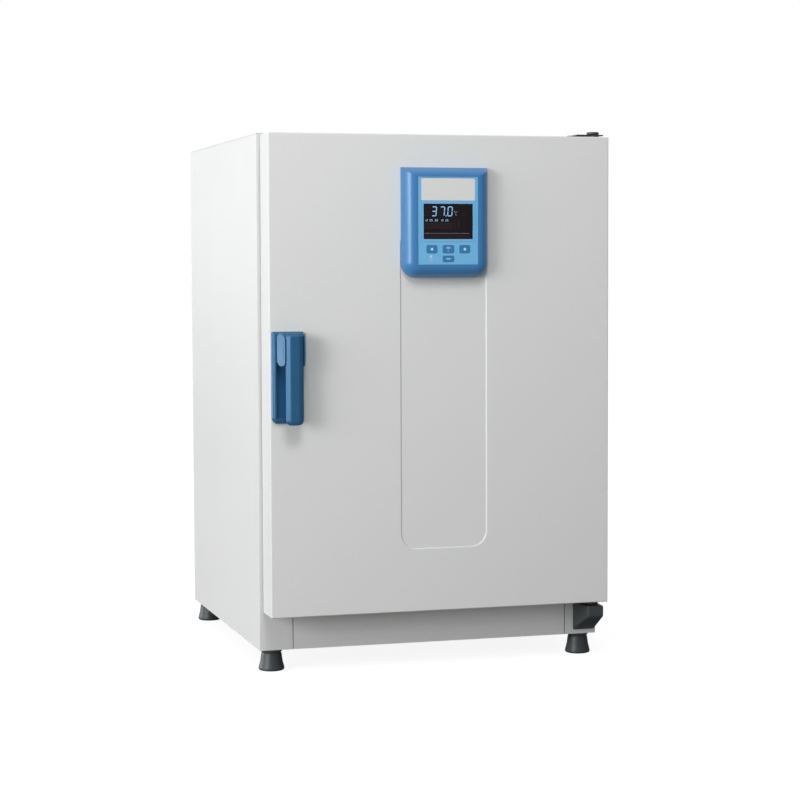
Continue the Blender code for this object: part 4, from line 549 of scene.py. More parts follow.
def make_display():
    """Lit digits and the unlit cells round them, just in front of the window."""
    lo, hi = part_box("display_window")
    y1 = lo[1]
    width = hi[0] - lo[0]
    height = hi[2] - lo[2]
    lit = bmesh.new()
    dim = bmesh.new()
    rule = bmesh.new()
    cell_w = 0.085 * width
    cell_h = 0.255 * height
    base = lo[2] + 0.66 * height
    for share, digit in CELLS:
        bars = seven_bars(lo[0] + share * width, base, cell_w, cell_h, 1.8 * MM)
        for key, outline in bars.items():
            on = key in BARS.get(digit, "")
            plate(lit if on else dim, outline, y1 - (PRINT_T if on else PRINT_T / 2), y1)
    dot = lo[0] + 0.444 * width
    block(lit, (dot, y1 - PRINT_T, base - MM), (dot + 1.9 * MM, y1, base + 0.9 * MM))
    ring_x = lo[0] + 0.625 * width
    turn(rule, [(1.1 * MM, 0), (1.1 * MM, PRINT_T)], (ring_x, y1, base + 7.4 * MM), (0, -1, 0), 16)
    letter = seven_bars(ring_x + 2 * MM, base + MM, 3 * MM, 6 * MM, MM)
    for key in "adef":
        plate(rule, letter[key], y1 - PRINT_T, y1)
    row = lo[2] + 0.505 * height
    for start, digits in ROWS:
        for i, digit in enumerate(digits):
            for key in BARS.get(digit, ""):
                cell = seven_bars(lo[0] + start * width + i * 3.1 * MM, row, 1.7 * MM, 3.2 * MM, 0.7 * MM)
                plate(lit, cell[key], y1 - PRINT_T, y1)
    for i, span in enumerate((3.2, 5.5)):
        x = lo[0] + 0.775 * width
        z = base + (3.6 - 3.4 * i) * MM
        block(dim, (x, y1 - PRINT_T, z), (x + 1.6 * span * MM, y1, z + 1.5 * MM))
    rule_z = lo[2] + 0.155 * height
    block(rule, (lo[0] + 0.01 * width, y1 - PRINT_T, rule_z), (lo[0] + 0.93 * width, y1, rule_z + 0.6 * MM))
    for left, right, foot, top in PATCHES:
        block(dim, (lo[0] + left * width, y1 - PRINT_T / 2, lo[2] + foot * height),
              (lo[0] + right * width, y1, lo[2] + top * height))
    fit(make("lit_digits", lit, LIT_CELLS), "outer_door", "display_black")
    fit(make("unlit_cells", dim, DIM_CELLS), "outer_door", "display_black")
    fit(make("display_rule", rule, RULE_LINE), "outer_door", "display_black")


def ring_of(bm, outer, inner, y0, y1):
    """Add a flat ring between two outlines that have the same number of points."""
    loft(bm, [at(outer, y1), at(inner, y1), at(inner, y0), at(outer, y0), at(outer, y1)], False, False)


def make_film_print():
    """The line printed round the label and the display, and the pale symbol below it."""
    lo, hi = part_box("control_membrane")
    y = lo[1]
    side = 4.6 * MM
    line = 0.6 * MM
    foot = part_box("display_window")[0][2] - 5 * MM
    bm = bmesh.new()
    outer = rounded(lo[0] + side, hi[0] - side, foot, hi[2] - 1.4 * MM, (3 * MM,) * 4)
    inner = rounded(lo[0] + side + line, hi[0] - side - line, foot + line, hi[2] - 1.4 * MM - line,
                    (2.4 * MM,) * 4)
    ring_of(bm, outer, inner, y - PRINT_T, y)
    fit(make("film_line", bm, FILM_LINE), "outer_door", "membrane_blue")

    x = middle("left_key")[0] - 2 * MM
    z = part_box("back_key")[1][2] + MM
    bm = bmesh.new()
    plate(bm, [(x - 2.4 * MM, z - 3 * MM), (x + 2.4 * MM, z - 3 * MM), (x, z + 0.5 * MM)], y - PRINT_T, y)
    fit(make("film_arrow", bm, WHITE_INK), "outer_door", "membrane_blue")
    bm = bmesh.new()
    for shift in (-2.2, 1.0):
        block(bm, (x + shift * MM, y - PRINT_T, z - 10.5 * MM), (x + (shift + 1.6) * MM, y, z - 4 * MM))
    fit(make("film_symbol", bm, PALE_INK), "outer_door", "membrane_blue")


def make_keys():
    """Four keycaps with dished faces and printed symbols."""
    for name in ("left_key", "menu_key", "right_key", "back_key"):
        lo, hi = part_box(name)
        mid_x, _, mid_z = middle(name)
        y = lo[1] + KEY_DISH
        steps = ((hi[1], 0), (lo[1] + KEY_EDGE, 0), (lo[1] + 0.3 * KEY_EDGE, 0.3 * KEY_EDGE),
                 (lo[1], KEY_EDGE), (y, 3 * KEY_EDGE))
        bm = bmesh.new()
        loft(bm, [at(framed(lo, hi, inset, (KEY_CORNER - inset,) * 4), depth) for depth, inset in steps])
        fit(make(name + "_cap", bm, KEY_BLUE, 50), name, "key_blue", name)

        ink = bmesh.new()
        if name in ("left_key", "right_key"):
            way = -1 if name == "left_key" else 1
            tip = (mid_x + way * 3.1 * MM, mid_z)
            plate(ink, [tip, (mid_x - way * 0.4 * MM, mid_z + 2.9 * MM), (mid_x - way * 2.6 * MM, mid_z),
                        (mid_x - way * 0.4 * MM, mid_z - 2.9 * MM)], y - PRINT_T, y)
        elif name == "menu_key":
            for up, half in ((3.2, 3.2), (1.6, 3.2), (-3.2, 1.2)):
                block(ink, (mid_x - half * MM, y - PRINT_T, mid_z + (up - 0.4) * MM),
                      (mid_x + half * MM, y, mid_z + (up + 0.4) * MM))
        else:
            block(ink, (mid_x - 4 * MM, y - PRINT_T, mid_z - 0.7 * MM),
                  (mid_x + 4 * MM, y, mid_z + 0.7 * MM))
        fit(make(name + "_ink", ink, WHITE_INK), name, "key_blue")


def make_handle_base():
    """Moulded base: a rolled border round a recess for the fingers."""
    lo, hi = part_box("handle_base")
    front = hi[1] - PLATE_T
    floor = hi[1] - FLOOR_T
    lip = BORDER_W - ROLL_W
    sections = [(hi[1], 0)]
    sections += [(front + ROLL_DEPTH * (1 - rise), ROLL_W * creep) for rise, creep in quarter(10)]
    sections += [(front + lip * creep, ROLL_W + lip * rise) for rise, creep in quarter(30, 30)]
    sections += [(floor - RECESS_FILLET * (1 - rise), BORDER_W + RECESS_FILLET * creep)
                 for rise, creep in quarter(30)]
    drawn = []
    for y, inset in sections:
        low = max(LOWER_CORNER - inset, 2 * MM)
        high = max(UPPER_CORNER - inset, 0.8 * MM)
        drawn.append(at(framed(lo, hi, inset, (low, low, high, high), 6), y))
    bm = bmesh.new()
    loft(bm, drawn)
    base = make("handle_frame", bm, NYLON_BLUE, 40)
    carve(base, hook_slot(front - HOOK_ROOM, hi[1] + HOOK_ROOM))
    fit(base, "outer_door", "handle_blue", "handle_base")


def make_ear(name, side):
    """One ear: straight out of the base, then thinner to a rounded tip, with a faint raised pad outside."""
    lo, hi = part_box("handle_base")
    grip_lo, grip_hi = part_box("handle_grip")
    inner = grip_lo[0] - SEAM if side < 0 else grip_hi[0] + SEAM
    outer = lo[0] + BORDER_W - SEAM if side < 0 else hi[0] - SEAM
    foot_t = abs(outer - inner)
    top = hi[2] - SEAM
    low = top - EAR_H
    tip_y = lo[1]
    shoulder = hi[1] - PLATE_T - EAR_SHOULDER
    span = shoulder - tip_y

    def thickness(y):
        return foot_t + (EAR_TIP_T - foot_t) * max(0.0, (shoulder - y) / span)

    def corner(y, end, run, height):
        near = max(0.0, 1 - abs(y - end) / run)
        return height * (1 - math.sqrt(1 - near * near))

    rings = []
    steps = 12
    depths = [hi[1] - FLOOR_T / 2, shoulder + MM] + [shoulder - span * i / steps for i in range(steps + 1)]
    for y in depths:
        thick = thickness(y)
        soft = min(EAR_EDGE, thick / 2.2)
        ends = sorted((inner, inner + side * thick))
        radii = (soft, SEAM, SEAM, soft) if side < 0 else (SEAM, soft, soft, SEAM)
        root = corner(min(y, shoulder), shoulder, EAR_ROOT_RUN, EAR_ROOT_DROP)
        outline = rounded(*ends, low + root + corner(y, tip_y, EAR_FOOT_RUN, EAR_FOOT_RISE),
                          top - root - corner(y, tip_y, EAR_TOP_RUN, EAR_TOP_DROP), radii, 5)
        rings.append(at(outline, y))
    bm = bmesh.new()
    loft(bm, rings)

    edge = 3.5 * MM
    radii = (2 * edge, MM, MM, 2 * edge)
    pad = rounded(tip_y + edge, shoulder - edge, low + 2 * edge, top - EAR_TOP_DROP, radii)
    faces = []
    for rise in (-PAD_RISE, PAD_RISE):
        faces.append([(inner + side * (thickness(y) + rise), y, z) for y, z in pad])
    loft(bm, faces)
    fit(make(name, bm, NYLON_BLUE, 40), "outer_door", "handle_blue")


def grip_section(half, front, back, narrow, z):
    """Plan of the grip at one height: a flat front between two broad softened flanks."""
    share = (back - front) / GRIP_T
    flank = front + FLANK_DEPTH * share
    wide = FLANK_W * (1 - narrow / half)
    half -= narrow
    corners = [(-half + GRIP_DRAFT, back), (-half, flank), (-half + wide, front),
               (half - wide, front), (half, flank), (half - GRIP_DRAFT, back)]
    points = []
    count = len(corners)
    for i, (x, y) in enumerate(corners):
        here = Vector((x, y))
        before = Vector(corners[i - 1]) - here
        after = Vector(corners[(i + 1) % count]) - here
        reach = min(GRIP_SOFT, before.length / 2.2, after.length / 2.2)
        a = here + before.normalized() * reach
        b = here + after.normalized() * reach
        for k in range(5):
            t = k / 4
            point = a * (1 - t) ** 2 + here * 2 * t * (1 - t) + b * t * t
            points.append((point.x, point.y, z))
    return points


def make_grip():
    """Pull grip: long flanked bar, rounded at its foot and sloped at its top, with the hub behind it."""
    lo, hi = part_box("handle_grip")
    pivot = middle("handle_pin")[2]
    mid = middle("handle_grip")[0]
    half = (hi[0] - lo[0]) / 2
    back = lo[1] + GRIP_T
    slope_foot = hi[2] - GRIP_SLOPE_H
    levels = [(lo[2] + GRIP_FOOT_R * creep, GRIP_FOOT_R * (1 - rise), 0.4 * GRIP_FOOT_R * (1 - rise))
              for rise, creep in quarter(10)]
    levels += [(slope_foot - 1.5 * MM, 0, 0), (slope_foot - 0.6 * MM, 0, 0.15 * MM),
               (slope_foot, 0.1 * MM, 0.7 * MM), (hi[2] - 0.7 * MM, 0.5 * MM, GRIP_SLOPE_DEPTH - 0.8 * MM),
               (hi[2], 1.2 * MM, GRIP_SLOPE_DEPTH + 0.6 * MM)]
    bm = bmesh.new()
    sections = []
    for z, narrow, thin in levels:
        plan = grip_section(half, lo[1] + thin, back, narrow, z)
        sections.append([(mid + x, y, height) for x, y, height in plan])
    loft(bm, sections)
    block(bm, (lo[0] + GRIP_SIDE, back - 4 * MM, pivot - HUB_HALF),
          (hi[0] - GRIP_SIDE, hi[1], pivot + HUB_HALF), 3.5 * MM, 4)
    fit(make("pull_grip", bm, NYLON_BLUE, 50), "handle_lever", "handle_blue", "handle_grip")


def make_feet():
    """Tapered levelling feet: collar, groove, flared skirt, and the threaded stud above."""
    for corner in ("front_left", "front_right", "rear_left", "rear_right"):
        name = "foot_" + corner
        lo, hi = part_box(name)
        x, y, _ = middle(name)
        wide = (hi[0] - lo[0]) / 2
        profile = [(wide - 5 * MM, 0.0), (wide - 3 * MM, 0.0), (wide - 1.2 * MM, 0.8 * MM),
                   (wide - 0.2 * MM, 2.2 * MM), (wide, 3.6 * MM), (wide - 0.7 * MM, 7 * MM),
                   (NECK_R + 3.0 * MM, 17 * MM), (NECK_R + 1.3 * MM, FOOT_TOP - 8.4 * MM),
                   (NECK_R, FOOT_TOP - 7.2 * MM), (NECK_R, FOOT_TOP - 5.9 * MM),
                   (COLLAR_R - 0.5 * MM, FOOT_TOP - 5.4 * MM), (COLLAR_R, FOOT_TOP - 4.9 * MM),
                   (COLLAR_R, FOOT_TOP - 0.8 * MM), (COLLAR_R - 0.8 * MM, FOOT_TOP), (STUD_R, FOOT_TOP)]
        stud = FOOT_TOP
        while stud < hi[2] - 1.6 * MM:
            profile += [(STUD_R, stud + 0.2 * MM), (STUD_ROOT_R, stud + 0.8 * MM),
                        (STUD_R, stud + 1.4 * MM)]
            stud += STUD_PITCH
        profile += [(4.4 * MM, hi[2] - 0.5 * MM), (3.8 * MM, hi[2])]
        bm = bmesh.new()
        turn(bm, profile, (x, y, 0), (0, 0, 1), 56)
        fit(make("levelling_" + name, bm, NYLON_CHARCOAL, 40), name, "charcoal_plastic", name)


def make_glass_knob():
    """Turned knob, waisted behind a crowned head."""
    lo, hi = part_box("glass_door_knob")
    x, _, z = middle("glass_door_knob")
    shares = ((0.78, 0), (0.78, 0.08), (0.52, 0.16), (0.48, 0.36), (0.62, 0.47), (0.92, 0.56), (1, 0.66),
              (1, 0.82), (0.93, 0.93), (0.8, 0.99), (0.6, 1), (0.2, 0.97))
    profile = [(out * (hi[0] - lo[0]) / 2, along * (hi[1] - lo[1])) for out, along in shares]
    bm = bmesh.new()
    turn(bm, profile, (x, hi[1], z), (0, -1, 0), 48)
    fit(make("glass_knob", bm, NYLON_CHARCOAL, 45), "glass_door", "charcoal_plastic", "glass_door_knob")


def make_port_plug():
    """Silicone plug: stepped flange with a raised rim and a tapered, ringed shank."""
    lo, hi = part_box("access_port_plug")
    x, _, z = middle("access_port_plug")
    face = hi[1] - lo[1]
    r = (hi[0] - lo[0]) / 2
    root = SHANK_R - MM
    profile = [(SHANK_R - 4 * MM, 0), (SHANK_R - 1.5 * MM, MM)]
    for i in range(3):
        start = (4 + 7 * i) * MM
        profile += [(root, start), (SHANK_R, start + 1.5 * MM), (SHANK_R, start + 3.5 * MM),
                    (root, start + 5 * MM)]
    profile += [(root, face - 2.2 * MM), (r - 0.4 * MM, face - 2.2 * MM), (r, face - 1.6 * MM),
                (r, face - 0.6 * MM), (r - 0.6 * MM, face), (r - 4 * MM, face),
                (r - 5 * MM, face - 1.2 * MM), (4 * MM, face - 1.2 * MM)]
    bm = bmesh.new()
    turn(bm, profile, (x, lo[1], z), (0, 1, 0), 56)
    fit(make("port_plug", bm, SILICONE, 40), "port_plug", "silicone", "access_port_plug")


def make_inlet():
    """Mains inlet: chamfered shell with its deep socket and three blades."""
    lo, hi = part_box("mains_inlet")
    mid_x, _, mid_z = middle("mains_inlet")
    back = hi[1]
    rim = framed(lo, hi, 0, (3 * MM,) * 4)
    body = framed(lo, hi, 2.5 * MM, (MM,) * 4)
    face = framed(lo, hi, 0.4 * MM, (2.6 * MM,) * 4)
    sock = rounded(mid_x - SOCKET_W / 2, mid_x + SOCKET_W / 2, mid_z - SOCKET_H / 2, mid_z + SOCKET_H / 2,
                   (MM, MM, 4 * MM, 4 * MM))
    run = [(lo[1], body), (back - 2 * MM, body), (back - 2 * MM, rim), (back - 0.4 * MM, rim), (back, face),
           (back, sock), (back - SOCKET_DEPTH, sock)]
    bm = bmesh.new()
    loft(bm, [at(outline, y) for y, outline in run])
    fit(make("inlet_shell", bm, NYLON_CHARCOAL), "cabinet", "charcoal_plastic", "mains_inlet")
    bm = bmesh.new()
    for step, up in ((-7, -4.1), (0, 4.1), (7, -4.1)):
        x = mid_x + step * MM
        z = mid_z + up * MM
        block(bm, (x - MM, back - SOCKET_DEPTH - MM, z - 2 * MM), (x + MM, back - 4 * MM, z + 2 * MM),
              0.5 * MM, 2)
    fit(make("inlet_blades", bm, BRASS), "cabinet", "plated_steel")


def tree_of(name, sockets):
    """An empty geometry tree that is given places, some named values and a finish, and its end node."""
    tree = bpy.data.node_groups.new(name, "GeometryNodeTree")
    for label, kind in (("Places", "Geometry"), *sockets, ("Finish", "Material")):
        tree.interface.new_socket(label, in_out="INPUT", socket_type="NodeSocket" + kind)
    tree.interface.new_socket("Result", in_out="OUTPUT", socket_type="NodeSocketGeometry")
    return tree, add(tree, "NodeGroupInput").outputs, add(tree, "NodeGroupOutput")


def set_out(tree, given, end, piece, turned=(0, 0, 0)):
    """Put a tree's piece on every place, make it real and give it its finish."""
    placed = add(tree, "GeometryNodeInstanceOnPoints", {"Points": given["Places"], "Instance": piece,
                                                        "Rotation": turned})
    real = add(tree, "GeometryNodeRealizeInstances", {0: placed})
    done = add(tree, "GeometryNodeSetMaterial", {"Geometry": real, "Material": given["Finish"]})
    tree.links.new(done.outputs[0], end.inputs[0])
    return tree


def screw_tree():
    """Socket screws: one head cut from a turned cone, put on every point, facing its own way."""
    tree, given, end = tree_of("screw_heads", (("Radius", "Float"), ("Height", "Float")))
    radius = given["Radius"]
    height = given["Height"]
    top = add(tree, "ShaderNodeMath", {0: radius, 1: 0.78}, operation="MULTIPLY")
    head = add(tree, "GeometryNodeMeshCone", {"Vertices": 28, "Radius Top": top, "Radius Bottom": radius,
                                              "Depth": height})
    bore = add(tree, "ShaderNodeMath", {0: radius, 1: 0.42}, operation="MULTIPLY")
    half = add(tree, "ShaderNodeMath", {0: height, 1: 0.45}, operation="MULTIPLY")
    key = add(tree, "GeometryNodeMeshCylinder", {"Vertices": 6, "Radius": bore, "Depth": height})
    lift = add(tree, "ShaderNodeCombineXYZ", {"Z": height})
    raised = add(tree, "GeometryNodeTransform", {"Geometry": key, "Translation": lift})
    sunk = add(tree, "ShaderNodeCombineXYZ", {"Z": half})
    lowered = add(tree, "GeometryNodeTransform", {"Geometry": head, "Translation": sunk})
    socket = add(tree, "GeometryNodeMeshBoolean", {0: lowered, 1: raised}, operation="DIFFERENCE")
    facing = add(tree, "GeometryNodeInputNamedAttribute", {"Name": "facing"}, data_type="FLOAT_VECTOR")
    aim = add(tree, "FunctionNodeAlignEulerToVector", {"Vector": facing}, axis="Z")
    return set_out(tree, given, end, socket, aim)


def grown(name, tree, values, points=(), facing=(0, 0, 1)):
    """Run a geometry tree on a set of points and keep its result as a plain mesh."""
    mesh = bpy.data.meshes.new(name)
    mesh.from_pydata([tuple(p) for p in points], [], [])
    if points:
        ways = mesh.attributes.new("facing", "FLOAT_VECTOR", "POINT")
        for item in ways.data:
            item.vector = facing
    obj = bpy.data.objects.new(name, mesh)
    SCENE.collection.objects.link(obj)
    step = obj.modifiers.new("grown", "NODES")
    step.node_group = tree
    for item in tree.interface.items_tree:
        if item.item_type == "SOCKET" and item.in_out == "INPUT" and item.name in values:
            step[item.identifier] = values[item.name]
    settle(obj)
    obj.data.shade_smooth()
    obj.data.set_sharp_from_angle(angle=math.radians(35))
    return obj


def make_screws():
    """Every screw that shows: rear panel, top hinge plate, glass brackets, keeper and air baffle."""
    tree = screw_tree()
    rear_lo, rear_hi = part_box("rear_panel")
    edge = 12 * MM
    columns = (rear_lo[0] + edge, rear_hi[0] - edge)
    rear = [(x, rear_hi[1], rear_lo[2] + edge + (rear_hi[2] - rear_lo[2] - 2 * edge) * i / 4)
            for x in columns for i in range(5)]
    rear += [(x, rear_hi[1], z) for x in (-REAR_SCREW_X, REAR_SCREW_X)
             for z in (rear_lo[2] + edge, rear_hi[2] - edge)]
    plate_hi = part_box("top_hinge_bracket")[1]
    mid = middle("top_hinge_bracket")[0]
    top = [(mid + side * 15 * MM, plate_hi[1] - 22 * MM, plate_hi[2]) for side in (-1, 1)]
    bracket_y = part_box("front_frame")[0][1] - LEAF_T
    leaf_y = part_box("glass_pane")[0][1] - LEAF_T
    groups = [("rear_screws", rear, (0, 1, 0), 3.6, 1.8, "cabinet"),
              ("hinge_plate_screws", top, (0, 0, 1), 3.6, 1.6, "cabinet")]
    for level in ("upper", "lower"):
        lo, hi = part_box("glass_bracket_" + level)
        spots = [(hi[0] - 5 * MM, bracket_y, lo[2] + z * MM) for z in (7, 22)]
        groups.append(("bracket_screws_" + level, spots, (0, -1, 0), 2.2, 1.2, "cabinet"))
        lo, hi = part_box("glass_hinge_" + level)
        spots = [(lo[0] + 9 * MM, leaf_y, lo[2] + z * MM) for z in (8, 22)]
        groups.append(("leaf_screws_" + level, spots, (0, -1, 0), 2.4, 1.2, "glass_door"))
    lo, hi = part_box("latch_keeper")
    spots = [(middle("latch_keeper")[0], hi[1] - 2.5 * MM, lo[2] + z * MM) for z in (6, 20)]
    groups.append(("keeper_screws", spots, (0, -1, 0), 2.8, 1.4, "cabinet"))
    lo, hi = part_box("air_baffle")
    inset = 30 * MM
    spots = [(x, lo[1], z) for x in (lo[0] + inset, hi[0] - inset) for z in (lo[2] + inset, hi[2] - inset)]
    groups.append(("baffle_screws", spots, (0, -1, 0), 4.0, 2.0, "cabinet"))
    for name, spots, facing, radius, height, body in groups:
        screws = grown(name, tree, {"Radius": radius * MM, "Height": height * MM, "Finish": ZINC},
                       spots, facing)
        fit(screws, body, "plated_steel")


def fan_tree():
    """Impeller: a disc and hub with backward-curved blades set round it."""
    tree, given, end = tree_of("impeller", (("Blades", "Int"), ("Outer Radius", "Float"),
                                            ("Depth", "Float"), ("Sheet", "Float")))
    outer = given["Outer Radius"]
    depth = given["Depth"]
    sheet = given["Sheet"]
    disc = add(tree, "GeometryNodeMeshCylinder", {"Vertices": 96, "Radius": outer, "Depth": sheet})
    hub_r = add(tree, "ShaderNodeMath", {0: outer, 1: 0.175}, operation="MULTIPLY")
    hub = add(tree, "GeometryNodeMeshCylinder", {"Vertices": 48, "Radius": hub_r, "Depth": depth})
    half = add(tree, "ShaderNodeMath", {0: depth, 1: 0.5}, operation="MULTIPLY")
    mid = add(tree, "ShaderNodeCombineXYZ", {"Z": half})
    hub_up = add(tree, "GeometryNodeTransform", {"Geometry": hub, "Translation": mid})
    arc_r = add(tree, "ShaderNodeMath", {0: outer, 1: 0.42}, operation="MULTIPLY")
    arc = add(tree, "GeometryNodeCurveArc", {"Resolution": 12, "Radius": arc_r, "Start Angle": 0.25,
                                             "Sweep Angle": 0.95})
    section = add(tree, "GeometryNodeCurvePrimitiveQuadrilateral", {"Width": sheet, "Height": depth})
    blade = add(tree, "GeometryNodeCurveToMesh", {"Curve": arc, "Profile Curve": section,
                                                  "Fill Caps": True})
    reach = add(tree, "ShaderNodeMath", {0: outer, 1: 0.53}, operation="MULTIPLY")
    shift = add(tree, "ShaderNodeCombineXYZ", {"X": reach, "Z": half})
    blade_out = add(tree, "GeometryNodeTransform", {"Geometry": blade, "Translation": shift})
    dots = add(tree, "GeometryNodePoints", {"Count": given["Blades"]})
    index = add(tree, "GeometryNodeInputIndex")
    share = add(tree, "ShaderNodeMath", {0: index, 1: given["Blades"]}, operation="DIVIDE")
    angle = add(tree, "ShaderNodeMath", {0: share, 1: math.tau}, operation="MULTIPLY")
    spin = add(tree, "ShaderNodeCombineXYZ", {"Z": angle})
    blades = add(tree, "GeometryNodeInstanceOnPoints", {"Points": dots, "Instance": blade_out,
                                                        "Rotation": spin})
    wheel = add(tree, "GeometryNodeJoinGeometry")
    for part in (disc, hub_up, blades):
        tree.links.new(part.outputs[0], wheel.inputs[0])
    return set_out(tree, given, end, wheel, (math.pi / 2, 0, 0))


def make_impeller():
    """The fan's wheel, grown on its own middle."""
    lo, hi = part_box("fan_wheel")
    x, _, z = middle("fan_wheel")
    sizes = {"Blades": FAN_BLADES, "Outer Radius": (hi[0] - lo[0]) / 2, "Depth": hi[1] - lo[1] - FAN_SHEET,
             "Sheet": FAN_SHEET, "Finish": GROUND_STAINLESS}
    wheel = grown("impeller", fan_tree(), sizes, [(x, hi[1] - FAN_SHEET / 2, z)])
    fit(wheel, "fan", "stainless", "fan_wheel")


def louvre_tree():
    """Pressed louvres: a flattened half-round hood set on a grid of points."""
    tree, given, end = tree_of("louvres", (("Length", "Float"), ("Rise", "Float")))
    hood = add(tree, "GeometryNodeMeshCylinder", {"Vertices": 24, "Radius": given["Rise"],
                                                  "Depth": given["Length"]})
    laid = add(tree, "GeometryNodeTransform", {"Geometry": hood, "Rotation": (0, math.pi / 2, 0)})
    flat = add(tree, "GeometryNodeTransform", {"Geometry": laid, "Scale": (1, 0.62, 1)})
    return set_out(tree, given, end, flat)


def make_louvres():
    """Two stacks of air louvres low on the rear panel."""
    lo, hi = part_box("rear_panel")
    spots = [(x, hi[1], lo[2] + 22 * MM + LOUVRE_PITCH * i) for x in LOUVRE_X for i in range(5)]
    sizes = {"Length": LOUVRE_L, "Rise": LOUVRE_RISE, "Finish": POWDER_COAT}
    rows = grown("rear_louvres", louvre_tree(), sizes, spots)
    fit(rows, "cabinet", "white_paint")


# What each CAD node that still shows is really made of
NODE_FINISHES = {
    POWDER_COAT: "left_side_panel right_side_panel top_panel plinth_panel rear_panel",
    GROUND_STAINLESS: "front_frame inner_chamber lower_shelf upper_shelf door_inner_panel",
    UPRIGHT_STAINLESS: "left_rack right_rack air_baffle glass_hinge_upper glass_hinge_lower "
                       "glass_bracket_upper glass_bracket_lower temperature_probe",
    ZINC: "base_panel insulation_deck fan_shaft heater_element top_hinge_pin bottom_hinge_pin handle_pin "
          "latch_hook latch_keeper",
    SINTERED_BRONZE: "top_hinge_bush bottom_hinge_bush",
    FILM_BLUE: "control_membrane",
    LABEL_FILM: "label_plate",
    SMOKED_WINDOW: "display_window",
    FLOAT_GLASS: "glass_pane",
    NYLON_CHARCOAL: "access_port_tube bottom_hinge_housing",
    DARK_ENAMEL: "top_hinge_bracket top_hinge_cap",
    MINERAL_WOOL: "insulation_jacket door_insulation",
    SOLDER_MASK: "power_board control_board",
    CAST_ALUMINIUM: "fan_motor",
}


def dress_nodes():
    """Give each CAD node that still shows its real finish."""
    for material, names in NODE_FINISHES.items():
        for name in names.split():
            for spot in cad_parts[name].material_slots:
                spot.material = material


def make_camera():
    """Stand the camera where the photograph was taken."""
    ahead = Vector((math.sin(YAW) * math.cos(PITCH), math.cos(YAW) * math.cos(PITCH), -math.sin(PITCH)))
    level = Vector((math.cos(YAW), -math.sin(YAW), 0))
    upright = level.cross(ahead)
    right = math.cos(ROLL) * level + math.sin(ROLL) * upright
    up = math.cos(ROLL) * upright - math.sin(ROLL) * level
    lens = bpy.data.cameras.new("camera")
    lens.sensor_fit = "HORIZONTAL"
    lens.sensor_width = SENSOR_MM
    lens.lens = FOCAL_PX / FRAME_PX * SENSOR_MM
    camera = bpy.data.objects.new("camera", lens)
    SCENE.collection.objects.link(camera)
    turned = Matrix((right, up, -ahead)).transposed().to_4x4()
    camera.matrix_world = Matrix.Translation(EYE) @ turned
    SCENE.camera = camera


def lamp(name, place, target, size, watts):
    """A soft rectangular lamp that looks at its target."""
    light = bpy.data.lights.new(name, "AREA")
    light.shape = "RECTANGLE"
    light.size, light.size_y = size
    light.energy = watts
    obj = bpy.data.objects.new(name, light)
    SCENE.collection.objects.link(obj)
    aim = (Vector(target) - Vector(place)).to_track_quat("-Z", "Y")
    obj.matrix_world = Matrix.Translation(place) @ aim.to_matrix().to_4x4()


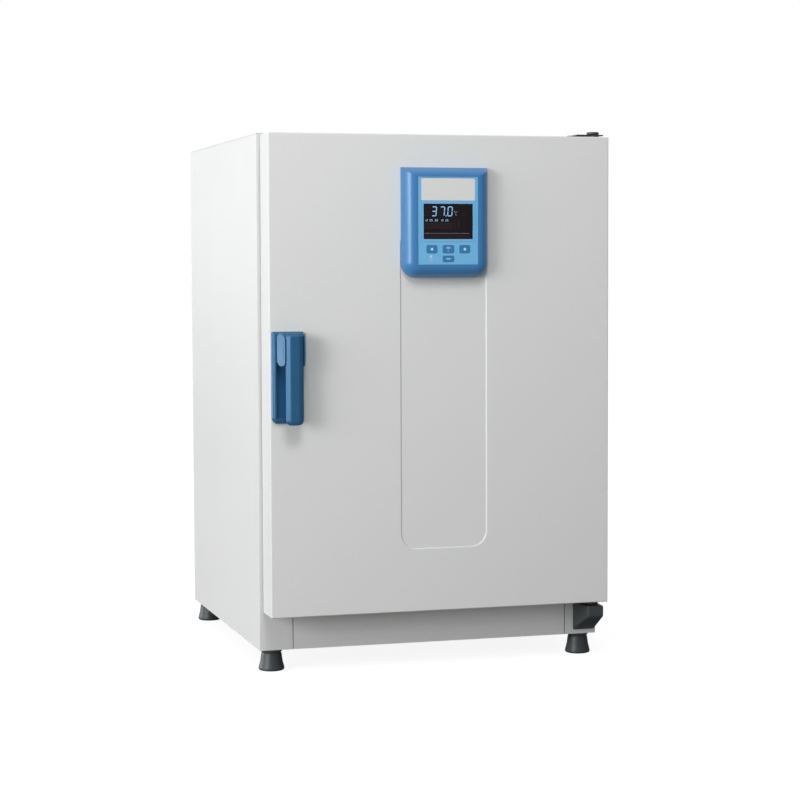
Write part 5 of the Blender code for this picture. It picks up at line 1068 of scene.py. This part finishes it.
def make_studio():
    """Pale floor, white surround, broad lamps at the left, above the front and behind, and a tall strip."""
    lamp("key_light", (-5.0, -2.6, 1.5), (0, -0.1, 0.5), (2.6, 2.0), 72)
    lamp("rim_light", (-2.5, 1.4, 0.3), (-0.3, 0.1, 0.3), (1.2, 0.5), 12)
    lamp("fill_light", (-0.5, -2.1, 2.4), (0, -0.3, 0.8), (0.8, 0.8), 22)
    lamp("strip_light", (-2.9, -2.4, 1.0), (0, -0.35, 0.7), (1.3, 1.5), 32)

    world = bpy.data.worlds.new("studio")
    SCENE.world = world
    world.use_nodes = True
    tree = world.node_tree
    tree.nodes.clear()
    ray = add(tree, "ShaderNodeLightPath").outputs
    through = add(tree, "ShaderNodeMath", {0: ray["Is Camera Ray"], 1: ray["Is Transmission Ray"]},
                  operation="MAXIMUM")
    white = add(tree, "ShaderNodeBackground", {"Color": (1, 1, 1, 1), "Strength": 1.0})
    way = add(tree, "ShaderNodeTexCoord").outputs["Generated"]
    left_back = add(tree, "ShaderNodeVectorMath", {0: way, 1: (-0.85, 0.53, 0)}, operation="DOT_PRODUCT")
    turned_left = left_back.outputs["Value"]
    backdrop = add(tree, "ShaderNodeMapRange", {0: turned_left, 1: -0.7, 2: 0.9, 3: 0.28, 4: 0.88})
    panels = add(tree, "ShaderNodeMapRange", {0: turned_left, 1: -0.1, 2: 0.9, 3: 0.28, 4: 2.3})
    level = add(tree, "ShaderNodeMix", {0: ray["Is Glossy Ray"], 2: backdrop, 3: panels})
    soft = add(tree, "ShaderNodeBackground", {"Color": linear("F8F9FA"), "Strength": level})
    mixed = add(tree, "ShaderNodeMixShader", {0: through, 1: soft, 2: white})
    add(tree, "ShaderNodeOutputWorld", {"Surface": mixed})

    bm = bmesh.new()
    bmesh.ops.create_grid(bm, x_segments=1, y_segments=1, size=30)
    floor_mat = bpy.data.materials.new("studio_floor")
    floor_mat.use_nodes = True
    tree = floor_mat.node_tree
    tree.nodes.clear()
    ray = add(tree, "ShaderNodeLightPath").outputs
    matte = add(tree, "ShaderNodeBsdfDiffuse", {"Color": linear("868684")})
    lift = add(tree, "ShaderNodeEmission", {"Color": (1, 1, 1, 1), "Strength": 0.9})
    shown = add(tree, "ShaderNodeAddShader", {0: matte, 1: lift})
    mixed = add(tree, "ShaderNodeMixShader", {0: ray["Is Camera Ray"], 1: matte, 2: shown})
    add(tree, "ShaderNodeOutputMaterial", {"Surface": mixed})
    floor = make("floor", bm, floor_mat)
    SCENE.view_settings.view_transform = "Standard"


def main():
    """Camera and lamps first, then the finishes, then every piece from the door to the rear panel."""
    make_camera()
    make_studio()
    dress_nodes()
    make_door_skin()
    make_seals()
    make_control_shell()
    make_display()
    make_film_print()
    make_keys()
    make_handle_base()
    make_ear("handle_ear_left", -1)
    make_ear("handle_ear_right", 1)
    make_grip()
    make_feet()
    make_glass_knob()
    make_port_plug()
    make_inlet()
    make_screws()
    make_impeller()
    make_louvres()


main()
